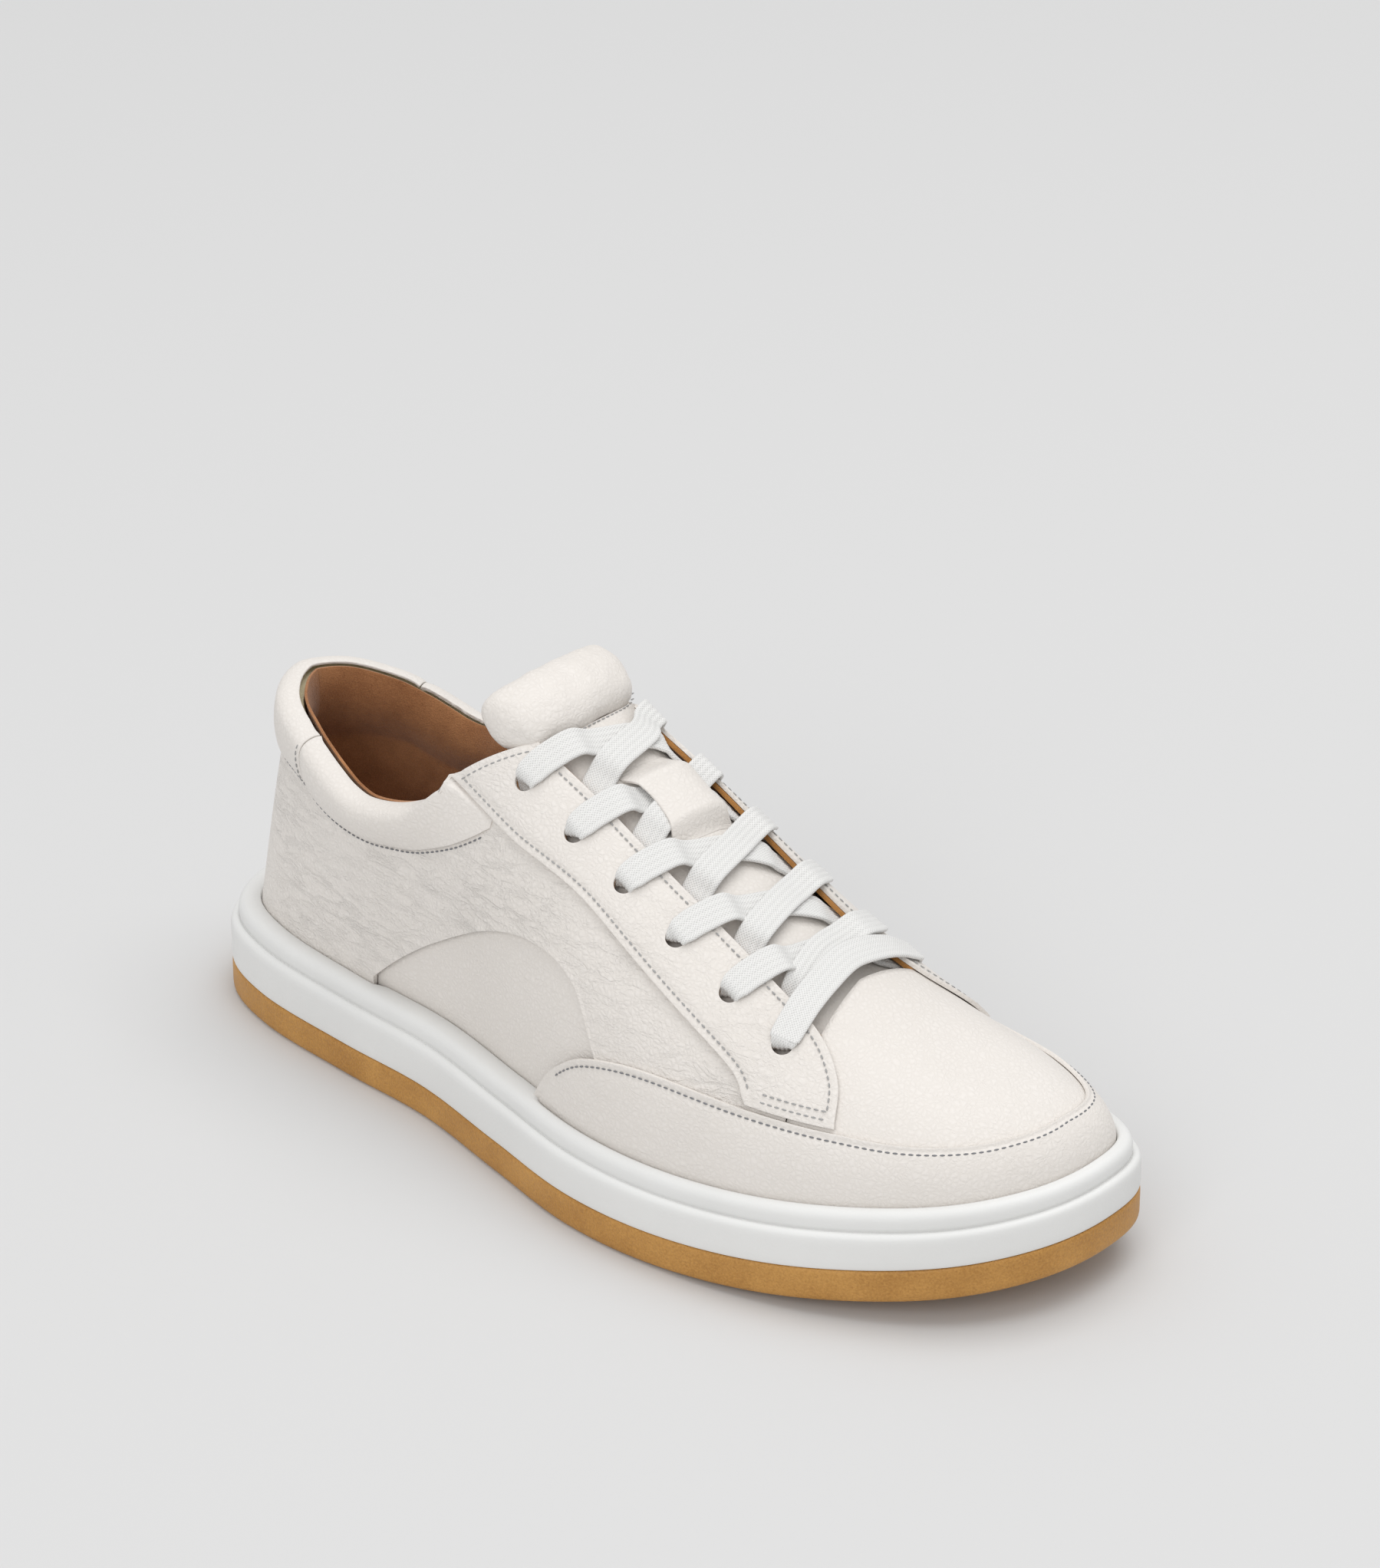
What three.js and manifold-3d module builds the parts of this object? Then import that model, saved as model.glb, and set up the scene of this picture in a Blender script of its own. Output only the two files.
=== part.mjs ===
// Court shoe, right foot, low top: a cupsole with a gum tread and a laced leather upper.
// Millimetres, +X to the toe, +Y to the inner (medial) side of the foot, +Z up, tread on z = 0.
import * as THREE from "three";
import { mergeVertices } from "three/addons/utils/BufferGeometryUtils.js";
import Module from "manifold-3d";

// ---- driving dimensions -------------------------------------------------------------------
const LENGTH = 305; // sole, heel to toe
const WIDTH = 112.5; // sole, across the ball
const TOE_SPRING = 13; // how far the toe tip curls off the ground
const SPRING_START = 0.59; // share of the length where the curl begins
const TREAD = 10; // gum outsole
const SIDEWALL = 20.5; // white cup, from the gum to the lip at the heel
const TOE_WALL_DROP = 4; // the cup is this much lower at the toe
const CUP_FLOOR = 4;
const LIP_BAND = 5.6; // height of the band above the shoulder of the cup
const LIP = 2.4; // its thickness
const SHOULDER = 4.3; // the band stands this far in from the widest line
const SEAT = 5; // the upper is seated this deep inside the cup
const TONGUE_HEIGHT = 130; // ridge of the instep at the tongue seam
const LEATHER = 1.2;
const LINING = 0.8;
const STIFFENER = 0.8;
const STROBEL = 1.1;
const FOOTBED = 4.3;
const FOOTBED_COVER = 0.9;
const COLLAR_PUFF = 3.2; // how far the padded collar swells out
const COLLAR_SKIN = 1;
const TONGUE_FOAM = 2.5;
const ROLL_LENGTH = 22; // padded roll at the top of the tongue
const ROLL_THICKNESS = 12;
const EYELET_ROWS = 6;
const EYELET_HOLE = 6;
const LACE_WIDTH = 8;
const LACE_THICKNESS = 1.2;
const AGLET = { length: 12, width: 3.6 };
const GAP = 0.3; // between pieces that touch
const PLY = 0.6; // between curved sheets that lie on each other

// ---- the last: plan outline, instep ridge and ribs --------------------------------------------
// The outline is drawn for this length and width and scaled to the ones above. It runs from the
// back of the heel along the outer side to the toe and back along the inner side.
const PATTERN = { length: 305, width: 112.5, tongue: 130 };
const OUTLINE = [
  [0, 1], [9, -22], [33, -33], [70, -37], [105, -39], [140, -46.5], [175, -53.5], [212, -52.5],
  [248, -43.5], [281, -25.5], [299, -4], [305, 20], [299, 43], [272, 57], [237, 59], [200, 56],
  [165, 49], [130, 40], [98, 36.5], [66, 38], [33, 34.5], [9, 23],
];
const LEDGE = SHOULDER + LIP + 2.3; // from the widest line in to the skin of the last
const RIDGE_Y = [[0, 2], [60, 5], [120, 14], [150, 13], [180, 10], [236, 8], [264, 15]];
const RIDGE_Z = [
  [0, 150], [60, 150], [90, 144], [120, 130], [150, 113.5], [180, 97], [210, 81.5], [236, 70],
  [262, 60], [305, 46],
];
// One rib for each outline point of one side, heel to toe: where it meets the ridge, how upright
// it leaves the sole, how flat it reaches the ridge, and how far it swells.
const RIBS = [
  [58, 0.55, 0.66, -8], [58, 0.55, 0.62, -10], [64, 0.55, 0.72, -4], [84, 0.58, 0.84, 6],
  [110, 0.6, 0.84, 7], [141, 0.6, 0.77, 7], [173, 0.58, 0.7, 5], [205, 0.56, 0.64, 4],
  [233, 0.56, 0.6, 3], [252, 0.6, 0.58, 3], [262, 0.62, 0.6, 3], [264, 0.62, 0.6, 3],
];
// The inner side of the instep is fuller: it reaches the ridge flatter, by rib.
const INNER_FULLNESS = [0, 0, 0, 0.06, 0.16, 0.16, 0.13, 0.06, 0, 0, 0, 0];
const scaleX = LENGTH / PATTERN.length;
const scaleY = WIDTH / PATTERN.width;

const lerp = THREE.MathUtils.lerp;
const clamp = THREE.MathUtils.clamp;
const smoothstep = THREE.MathUtils.smoothstep;

// Value of a smooth curve through the rows [x, value] at x.
function curve(rows, x) {
  const last = rows.length - 1;
  const at = clamp(x, rows[0][0], rows[last][0]);
  let i = 0;
  while (i < last - 1 && at > rows[i + 1][0]) i += 1;
  const slope = (a, b) => (rows[b][1] - rows[a][1]) / (rows[b][0] - rows[a][0]);
  const span = rows[i + 1][0] - rows[i][0];
  const s = (at - rows[i][0]) / span;
  const m0 = slope(Math.max(i - 1, 0), i + 1) * span;
  const m1 = slope(i, Math.min(i + 2, last)) * span;
  const a = rows[i][1];
  const b = rows[i + 1][1];
  return (2 * s ** 3 - 3 * s ** 2 + 1) * a + (s ** 3 - 2 * s ** 2 + s) * m0
    + (3 * s ** 2 - 2 * s ** 3) * b + (s ** 3 - s ** 2) * m1;
}

// Catmull-Rom through a closed ring of numbers, t from 0 to 1.
function ring(values, t) {
  const n = values.length;
  const s = (t - Math.floor(t)) * n;
  const i = Math.floor(s) % n;
  const f = s - Math.floor(s);
  const [a, b, c, d] = [-1, 0, 1, 2].map((k) => values[(i + k + n) % n]);
  return 0.5 * (2 * b + (c - a) * f + (2 * a - 5 * b + 4 * c - d) * f * f
    + (3 * b - a - 3 * c + d) * f ** 3);
}

const outlineX = OUTLINE.map((p) => p[0] * scaleX);
const outlineY = OUTLINE.map((p) => p[1] * scaleY);
const ribValues = [0, 1, 2, 3].map((k) => {
  const outer = RIBS.map((rib) => (k === 0 ? rib[k] * scaleX : rib[k]));
  const inner = outer.map((value, i) => (k === 2 ? value + INNER_FULLNESS[i] : value));
  return outer.concat(inner.slice(1, -1).reverse());
});

// The frame's origin is under the middle of the sole.
const samples = [...Array(720).keys()].map((i) => i / 720);
const middle = (values) => {
  const all = samples.map((t) => ring(values, t));
  return (Math.min(...all) + Math.max(...all)) / 2;
};
const ORIGIN = new THREE.Vector2(middle(outlineX), middle(outlineY));

// Point of the plan outline at t, moved in by inset; x from the heel, y from the heel's middle.
function plan(t, inset) {
  const step = 1e-3;
  const dx = ring(outlineX, t + step) - ring(outlineX, t - step);
  const dy = ring(outlineY, t + step) - ring(outlineY, t - step);
  const size = Math.hypot(dx, dy);
  return new THREE.Vector2(
    ring(outlineX, t) - (dy / size) * inset,
    ring(outlineY, t) + (dx / size) * inset,
  );
}

const springStart = SPRING_START * LENGTH;
const spring = (x) => TOE_SPRING * (Math.max(0, x - springStart) / (LENGTH - springStart)) ** 2;
const lipHeight = (x) => TREAD + SIDEWALL - TOE_WALL_DROP * (x / LENGTH) + spring(x);
const ridgeY = (x) => curve(RIDGE_Y, x / scaleX) * scaleY;
const soleRise = TREAD + SIDEWALL - 30.5;
const instepScale = (TONGUE_HEIGHT - TREAD - SIDEWALL) / (PATTERN.tongue - 30.5);
const ridgeZ = (x) => {
  const pattern = curve(RIDGE_Z, x / scaleX);
  return 30.5 + soleRise + (pattern - 30.5) * instepScale;
};

// A point of the last: t around the sole, v from the sole (0) to the instep ridge (1).
function lastPoint(t, v) {
  const [meet, upright, flat, swell] = ribValues.map((values) => ring(values, t));
  const foot = plan(t, LEDGE);
  const top = new THREE.Vector2(meet, ridgeY(meet));
  const run = top.clone().sub(foot);
  const out = run.clone().normalize();
  const z0 = lipHeight(foot.x) - SEAT;
  const z3 = ridgeZ(meet);
  const reach = top.clone().addScaledVector(run, -flat);
  const p0 = new THREE.Vector3(foot.x, foot.y, z0);
  const p1 = new THREE.Vector3(foot.x - out.x * swell, foot.y - out.y * swell, lerp(z0, z3, upright));
  const p2 = new THREE.Vector3(reach.x, reach.y, ridgeZ(reach.x));
  const p3 = new THREE.Vector3(top.x, top.y, z3);
  return new THREE.CubicBezierCurve3(p0, p1, p2, p3).getPoint(v);
}

// Outward normal of the last. On the ridge the two sides share one.
function rawNormal(t, v) {
  const step = 1e-3;
  const along = lastPoint(t + step, v).sub(lastPoint(t - step, v));
  const up = lastPoint(t, v + step).sub(lastPoint(t, v - step));
  return along.cross(up).normalize();
}
const RIDGE_BLEND = 0.85;
function lastNormal(t, v) {
  if (v <= RIDGE_BLEND) return rawNormal(t, v);
  const near = 0.97;
  const shared = rawNormal(t, near).add(rawNormal(1 - t, near)).normalize();
  return rawNormal(t, Math.min(v, near)).lerp(shared, (v - RIDGE_BLEND) / (1 - RIDGE_BLEND)).normalize();
}

// A point at distance d outside the last, in the frame of the part.
function skin(t, v, d) {
  const p = lastPoint(t, v).addScaledVector(lastNormal(t, v), d);
  return p.sub(new THREE.Vector3(ORIGIN.x, ORIGIN.y, 0));
}
// The same with one coordinate across the instep: c from 0 (outer side) over 1 (ridge) to 2.
const across = (t, c, d) => (c <= 1 ? skin(t, c, d) : skin(1 - t, 2 - c, d));

// ---- solids -----------------------------------------------------------------------------------
const shoe = new THREE.Group();
const LEATHER_FINISH = { color: 0xe9e5df, roughness: 0.55, metalness: 0 };
const SUEDE_FINISH = { color: 0x8a4a26, roughness: 0.95, metalness: 0 };
const FOAM_FINISH = { color: 0xe8dcb5, roughness: 0.9, metalness: 0 };

function addMesh(name, geometry, finish) {
  const mesh = new THREE.Mesh(geometry, new THREE.MeshStandardMaterial(finish));
  mesh.name = name;
  shoe.add(mesh);
  return mesh;
}

// A closed body from vertices and triangles, turned so that its faces look out.
function bodyGeometry(points, triangles) {
  let volume = 0;
  for (const [a, b, c] of triangles) {
    volume += points[a].dot(points[b].clone().cross(points[c]));
  }
  const faces = volume < 0 ? triangles.map(([a, b, c]) => [a, c, b]) : triangles;
  const geometry = new THREE.BufferGeometry().setFromPoints(points);
  geometry.setIndex(faces.flat());
  const merged = mergeVertices(geometry, 1e-4);
  const index = [...merged.index.array];
  const kept = [];
  for (let i = 0; i < index.length; i += 3) {
    const [a, b, c] = index.slice(i, i + 3);
    if (a !== b && b !== c && c !== a) kept.push(a, b, c);
  }
  merged.setIndex(kept);
  merged.computeVertexNormals();
  return merged;
}

const quad = (list, a, b, c, d) => list.push([a, b, c], [a, c, d]);

// A sheet with two faces: face(u, w, side), side 0 inner and 1 outer, on a grid of nu by nw cells.
// A zipped sheet meets itself along w = 1, where u and 1 - u give the same points.
function sheet(face, nu, nw, zipped = false) {
  const points = [];
  for (const side of [0, 1]) {
    for (let i = 0; i <= nu; i += 1) {
      for (let j = 0; j <= nw; j += 1) points.push(face(i / nu, j / nw, side));
    }
  }
  const at = (side, i, j) => side * (nu + 1) * (nw + 1) + i * (nw + 1) + j;
  const triangles = [];
  for (let i = 0; i < nu; i += 1) {
    for (let j = 0; j < nw; j += 1) {
      quad(triangles, at(1, i, j), at(1, i + 1, j), at(1, i + 1, j + 1), at(1, i, j + 1));
      quad(triangles, at(0, i, j + 1), at(0, i + 1, j + 1), at(0, i + 1, j), at(0, i, j));
    }
    quad(triangles, at(0, i, 0), at(0, i + 1, 0), at(1, i + 1, 0), at(1, i, 0));
    if (!zipped) quad(triangles, at(1, i, nw), at(1, i + 1, nw), at(0, i + 1, nw), at(0, i, nw));
  }
  for (let j = 0; j < nw; j += 1) {
    quad(triangles, at(1, 0, j), at(1, 0, j + 1), at(0, 0, j + 1), at(0, 0, j));
    quad(triangles, at(0, nu, j), at(0, nu, j + 1), at(1, nu, j + 1), at(1, nu, j));
  }
  return bodyGeometry(points, triangles);
}

// A sheet that follows a middle surface, half a thickness to each side of it.
function thickSheet(surface, nu, nw, thickness) {
  const step = 1e-3;
  const normal = (u, w) => {
    const du = surface(u + step, w).sub(surface(u - step, w));
    const dw = surface(u, w + step).sub(surface(u, w - step));
    return du.cross(dw).normalize();
  };
  const face = (u, w, side) => surface(u, w).addScaledVector(normal(u, w), (side - 0.5) * thickness);
  return sheet(face, nu, nw);
}

// A body of stacked closed rings, capped by strips that run from side to side.
function stackedRings(rings) {
  const n = rings[0].length;
  const points = rings.flat();
  const triangles = [];
  for (let k = 0; k < rings.length - 1; k += 1) {
    for (let i = 0; i < n; i += 1) {
      const next = (i + 1) % n;
      quad(triangles, k * n + i, k * n + next, (k + 1) * n + next, (k + 1) * n + i);
    }
  }
  for (const k of [0, rings.length - 1]) {
    for (let i = 0; i < n / 2; i += 1) {
      const low = [k * n + i, k * n + i + 1];
      const high = [k * n + ((n - i) % n), k * n + ((n - i - 1) % n)];
      if (k === 0) quad(triangles, low[0], high[0], high[1], low[1]);
      else quad(triangles, low[0], low[1], high[1], high[0]);
    }
  }
  return bodyGeometry(points, triangles);
}

// Rings of the sole: each has an inset and a height as a function of x.
const SOLE_STEPS = 66;
function soleBody(profile) {
  const rings = profile.map(([inset, height]) => [...Array(SOLE_STEPS).keys()].map((i) => {
    const p = plan(i / SOLE_STEPS, inset);
    return new THREE.Vector3(p.x - ORIGIN.x, p.y - ORIGIN.y, height(p.x));
  }));
  return stackedRings(rings);
}
const raised = (z) => (x) => z + spring(x);
const belowLip = (drop) => (x) => lipHeight(x) - drop;

// ---- sole unit ------------------------------------------------------------------------------
addMesh("outsole", soleBody([
  [1.4, raised(0)], [0.4, raised(0.8)], [0, raised(2)], [0, raised(TREAD - 1)], [0.5, raised(TREAD)],
]), { color: 0xb5781f, roughness: 0.6, metalness: 0 });

const shoulder = belowLip(LIP_BAND + 0.4);
const wallLow = TREAD + GAP;
const cupInner = SHOULDER + LIP;
const partWall = (share) => (x) => lerp(wallLow + spring(x), shoulder(x), share);
addMesh("midsole_cup", soleBody([
  [0.8, raised(wallLow)], [0.3, raised(wallLow + 0.8)], [0.5, partWall(0.4)], [1.3, partWall(0.8)],
  [2.2, partWall(0.95)], [3.2, shoulder], [SHOULDER, shoulder], [SHOULDER, belowLip(1.2)],
  [SHOULDER + 0.5, belowLip(0.2)], [SHOULDER + 1.2, belowLip(0)], [cupInner - 0.5, belowLip(0.2)],
  [cupInner, belowLip(1)], [cupInner, raised(wallLow + CUP_FLOOR)],
]), { color: 0xf6f6f3, roughness: 0.6, metalness: 0 });

const boardTop = SEAT + 1.8;
const boardLow = boardTop + STROBEL;
const fillInset = cupInner + GAP;
addMesh("midsole_foam", soleBody([
  [fillInset, raised(wallLow + CUP_FLOOR + GAP)], [fillInset, belowLip(boardLow + GAP)],
]), FOAM_FINISH);

addMesh("strobel_board", soleBody([
  [LEDGE + 0.6, belowLip(boardLow)], [LEDGE + 0.6, belowLip(boardTop)],
]), { color: 0xd8d2c4, roughness: 0.9, metalness: 0 });

// The insole lies inside the lining: the stack of layers inside the last, and a free margin.
const LAYER = {
  overlay: [PLY * 0.7, PLY * 0.7 + LEATHER],
  shell: [-LEATHER, 0],
  stiffener: [-LEATHER - PLY - STIFFENER, -LEATHER - PLY],
};
const liningOut = LAYER.stiffener[0] - PLY;
LAYER.lining = [liningOut - LINING, liningOut];
const footbedInset = LEDGE - LAYER.lining[0] + 1;
const footbedLow = boardTop - GAP;
const footbedTop = footbedLow - FOOTBED;
addMesh("footbed", soleBody([
  [footbedInset + 1, belowLip(footbedLow)], [footbedInset, belowLip(footbedLow - 1)],
  [footbedInset, belowLip(footbedTop)],
]), FOAM_FINISH);
addMesh("footbed_cover", soleBody([
  [footbedInset, belowLip(footbedTop - GAP)], [footbedInset, belowLip(footbedTop - GAP - FOOTBED_COVER)],
]), SUEDE_FINISH);

// ---- pattern lines on the last, as [t, v]; the inner side mirrors the outer ----------------------
const COLLAR_TOP = [
  [0, 0.425], [0.05, 0.416], [0.09, 0.397], [0.11, 0.373], [0.122, 0.355], [0.132, 0.342],
  [0.143, 0.342], [0.159, 0.369], [0.172, 0.417], [0.181, 0.474],
];
const COLLAR_SEAM = [
  [0, 0.296], [0.05, 0.299], [0.083, 0.3], [0.101, 0.293], [0.113, 0.275], [0.127, 0.265],
  [0.142, 0.268], [0.155, 0.281], [0.17, 0.308], [0.185, 0.363], [0.197, 0.43], [0.205, 0.49],
];
const GUARD_TOP = [
  [0.24, 0.03], [0.252, 0.12], [0.269, 0.205], [0.3, 0.29], [0.339, 0.336], [0.372, 0.36],
  [0.397, 0.366], [0.434, 0.408], [0.46, 0.446], [0.5, 0.474],
];
const WINDOW_TOP = [
  [0.143, 0.03], [0.18, 0.175], [0.22, 0.317], [0.245, 0.358], [0.262, 0.328],
  [0.272, 0.25], [0.282, 0.16], [0.3, 0],
];
const STAY_OUTER = [
  [0.182, 0.503], [0.214, 0.505], [0.255, 0.545], [0.297, 0.508], [0.328, 0.442], [0.338, 0.352],
];
const STAY_INNER = [
  [0.208, 0.735], [0.25, 0.768], [0.29, 0.778], [0.325, 0.762], [0.353, 0.705], [0.368, 0.57],
  [0.372, 0.38],
];
const EYELET_LINE = [
  [0.211, 0.637], [0.239, 0.648], [0.268, 0.662], [0.293, 0.657], [0.319, 0.637], [0.343, 0.597],
];
const VAMP_START = 0.354; // t of the seam between vamp and quarter
const SEAM_GAP = 0.0015; // of t, between pieces side by side
// The inner eyestay is set this much of t further forward than the outer one.
const INNER_ADVANCE = 0.0115;
const advance = (t) => (
  INNER_ADVANCE * smoothstep(t, 0.168, 0.2) * (1 - smoothstep(t, 0.318, VAMP_START - SEAM_GAP))
);
const mirror = (t, side) => (side === "lateral" ? t : 1 - t - advance(t));
// t across the instep: it gains the advance on the way from the outer to the inner eyelets.
const skewed = (t, c) => t + advance(t) * smoothstep(c, 0.67, 1.33);
const instep = (t, c, d) => across(skewed(t, c), c, d);
const instepNormal = (t, c) => (
  c <= 1 ? lastNormal(skewed(t, c), c) : lastNormal(1 - skewed(t, c), 2 - c)
);
const SIDES = ["lateral", "medial"];

// Paths are measured with t stretched, so that equal steps along one are equal on the last.
const STRETCH = 8;
const path = (rows) => {
  const points = rows.map(([t, v]) => new THREE.Vector3(t * STRETCH, v, 0));
  return new THREE.CatmullRomCurve3(points, false, "catmullrom", 0.5);
};
const onPath = (line, u) => line.getPointAt(clamp(u, 0, 1)).divide(new THREE.Vector3(STRETCH, 1, 1));
const stayOuter = path(STAY_OUTER);
const stayInner = path(STAY_INNER);
const stayPoint = (u, w) => onPath(stayOuter, u).lerp(onPath(stayInner, u), w);
// v of the eyestay's outer edge at t, as the panels under it need it.
const stayEdge = (t) => curve(STAY_OUTER, t);
const UNDERLAP = 0.06; // how far the quarter runs under the eyestay
const guardTop = (t) => curve(GUARD_TOP, t > 0.5 ? 1 - t : t);
const topLine = (t) => {
  const [end, top] = COLLAR_TOP[COLLAR_TOP.length - 1];
  return Math.abs(t) <= end ? curve(COLLAR_TOP, Math.abs(t)) : lerp(top, 0.55, (Math.abs(t) - end) / 0.012);
};

// ---- quarters, with the window cut out above the sole ---------------------------------------------
const HEEL_SEAM = 0.002;
const quarterEnd = VAMP_START - SEAM_GAP;
function quarterTop(t) {
  const merge = smoothstep(t, 0.195, 0.212);
  return lerp(curve(COLLAR_SEAM, t) - 0.006, stayEdge(t) + UNDERLAP, merge);
}
function quarterFoot(t) {
  const open = t > WINDOW_TOP[0][0] && t < WINDOW_TOP[WINDOW_TOP.length - 1][0];
  return open ? Math.max(curve(WINDOW_TOP, t), 0) : 0;
}
for (const side of SIDES) {
  const face = (layer) => (u, w, k) => {
    const t = lerp(HEEL_SEAM, quarterEnd, u);
    const v = lerp(quarterFoot(t), quarterTop(t), w);
    return skin(mirror(t, side), v, LAYER[layer][k]);
  };
  addMesh(`quarter_${side}`, sheet(face("shell"), 44, 4), LEATHER_FINISH);

  const panel = (u, w, k) => {
    const t = lerp(0.13, 0.288, u);
    const v = lerp(0, Math.max(curve(WINDOW_TOP, t), 0.05) + 0.04, w);
    return skin(mirror(t, side), v, LAYER.stiffener[k]);
  };
  addMesh(`side_panel_${side}`, sheet(panel, 18, 4), LEATHER_FINISH);
}

// ---- vamp and toe -----------------------------------------------------------------------------------
const vampFace = (layer, start, low, high) => (u, w, k) => {
  const t = lerp(start, 1 - start, u);
  return skin(t, lerp(low, high, w), LAYER[layer][k]);
};
addMesh("vamp", sheet(vampFace("shell", VAMP_START, 0, 1), 22, 7, true), LEATHER_FINISH);
addMesh("toe_puff", sheet(vampFace("stiffener", 0.42, 0.03, 0.75), 10, 4), FOAM_FINISH);
const VAMP_LINING_START = 0.363;
addMesh("vamp_lining", sheet(vampFace("lining", VAMP_LINING_START, 0.01, 1), 20, 6, true), SUEDE_FINISH);

const guardFace = (u, w, k) => {
  const t = lerp(GUARD_TOP[0][0], 1 - GUARD_TOP[0][0], u);
  return skin(t, lerp(0, guardTop(t), w), LAYER.overlay[k]);
};
addMesh("toe_guard", sheet(guardFace, 40, 3), LEATHER_FINISH);

// ---- heel counter and linings ---------------------------------------------------------------------
const counterFace = (u, w, k) => {
  const t = lerp(-0.12, 0.12, u);
  return skin(t, lerp(0.02, 0.22, w), LAYER.stiffener[k]);
};
addMesh("heel_counter", sheet(counterFace, 14, 2), FOAM_FINISH);

// Inside the collar the lining swells over the foam and comes back to meet the cover at the rim.
const LINING_PUFF = 3;
const rimDrop = 0.006;
const liningEnd = VAMP_LINING_START - SEAM_GAP;
function liningTop(t) {
  const merge = smoothstep(t, 0.18, 0.2);
  return lerp(topLine(t) - rimDrop, stayEdge(Math.max(t, 0.182)) + UNDERLAP - 0.015, merge);
}
function liningSwell(t, v) {
  const low = curve(COLLAR_SEAM, Math.abs(t)) - 0.03;
  const high = topLine(t);
  const fade = 1 - smoothstep(Math.abs(t), 0.15, 0.178);
  return v < low ? 0 : LINING_PUFF * fade * Math.sin(Math.PI * clamp((v - low) / (high - low), 0, 1));
}
for (const side of SIDES) {
  const face = (u, w, k) => {
    const t = lerp(HEEL_SEAM, liningEnd, u);
    const v = lerp(0.01, liningTop(t), w);
    return skin(mirror(t, side), v, LAYER.lining[k] - liningSwell(t, v));
  };
  addMesh(`quarter_lining_${side}`, sheet(face, 32, 7), SUEDE_FINISH);
}

// ---- padded collar: cover over the rim, foam inside ----------------------------------------------
const TAB_END = 0.103; // the heel tab reaches this far round each side
const coverLow = GAP + COLLAR_SKIN / 2;
const coverTurn = LAYER.lining[1] + PLY + COLLAR_SKIN / 2;
function collarProfile(t, w) {
  const a = Math.abs(t);
  const seam = curve(COLLAR_SEAM, a);
  const rolled = 1 - smoothstep(a, 0.165, 0.18);
  const top = a < 0.18 ? topLine(t) : stayEdge(Math.max(a, 0.182)) - 0.012;
  const puff = COLLAR_PUFF * Math.min(1, (top - seam) / 0.075) * (1 - smoothstep(a, 0.17, 0.2));
  const turn = 0.68; // share of the cover below the start of the roll over the rim
  const rise = Math.sin((Math.PI / 2) * Math.min(w / turn, 1));
  if (w <= turn) {
    const v = lerp(seam, top - 0.03 * rolled, w / turn);
    return [v, coverLow + puff * rise];
  }
  const angle = ((w - turn) / (1 - turn)) * (Math.PI / 2);
  const v = top - 0.03 * rolled * (1 - Math.sin(angle));
  return [v, lerp(coverLow + puff, lerp(coverLow, coverTurn, rolled), 1 - Math.cos(angle))];
}
function collarPiece(name, start, end, side, nu) {
  const surface = (u, w) => {
    const t = lerp(start, end, u);
    const [v, d] = collarProfile(t, w);
    return skin(mirror(t, side), v, d);
  };
  addMesh(name, thickSheet(surface, nu, 8, COLLAR_SKIN), LEATHER_FINISH);
}
collarPiece("heel_tab", -TAB_END, TAB_END, "lateral", 14);
for (const side of SIDES) collarPiece(`collar_${side}`, TAB_END + SEAM_GAP, 0.203, side, 12);

const FOAM_END = 0.168;
const foamFace = (u, w, k) => {
  const t = lerp(-FOAM_END, FOAM_END, u);
  const low = curve(COLLAR_SEAM, Math.abs(t)) + 0.012;
  const high = topLine(t) - 0.022;
  const v = lerp(low, high, w);
  if (k === 0) return skin(t, v, LAYER.lining[1] + PLY + 0.3 - liningSwell(t, v));
  const cover = collarProfile(t, 0.68 * ((v - low) / (topLine(t) - 0.03 - low)));
  return skin(t, v, Math.max(cover[1] - COLLAR_SKIN / 2 - GAP - 0.35, LAYER.lining[1] + PLY + 1));
};
addMesh("collar_foam", sheet(foamFace, 26, 4), FOAM_FINISH);

// ---- eyestays with punched holes ------------------------------------------------------------------
const wasm = await Module();
wasm.setup();
function toManifold(geometry) {
  const bare = geometry.clone();
  bare.deleteAttribute("normal");
  const solid = mergeVertices(bare, 1e-4);
  return new wasm.Manifold(new wasm.Mesh({
    numProp: 3,
    vertProperties: new Float32Array(solid.attributes.position.array),
    triVerts: new Uint32Array(solid.index.array),
  }));
}
function fromManifold(manifold) {
  const mesh = manifold.getMesh();
  const geometry = new THREE.BufferGeometry();
  geometry.setAttribute("position", new THREE.BufferAttribute(mesh.vertProperties, 3));
  geometry.setIndex(new THREE.BufferAttribute(mesh.triVerts, 1));
  geometry.computeVertexNormals();
  return geometry;
}

const eyeletPath = path(EYELET_LINE);
const eyelets = [...Array(EYELET_ROWS).keys()].map((row) => onPath(eyeletPath, row / (EYELET_ROWS - 1)));

function punch(geometry, side) {
  let solid = toManifold(geometry);
  for (const hole of eyelets) {
    const t = mirror(hole.x, side);
    const drill = new THREE.CylinderGeometry(EYELET_HOLE / 2, EYELET_HOLE / 2, 12, 12);
    const axis = lastNormal(t, hole.y);
    drill.applyQuaternion(new THREE.Quaternion().setFromUnitVectors(new THREE.Vector3(0, 1, 0), axis));
    const at = skin(t, hole.y, 0);
    drill.translate(at.x, at.y, at.z);
    drill.deleteAttribute("uv");
    solid = solid.subtract(toManifold(drill));
  }
  return fromManifold(solid);
}

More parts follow.
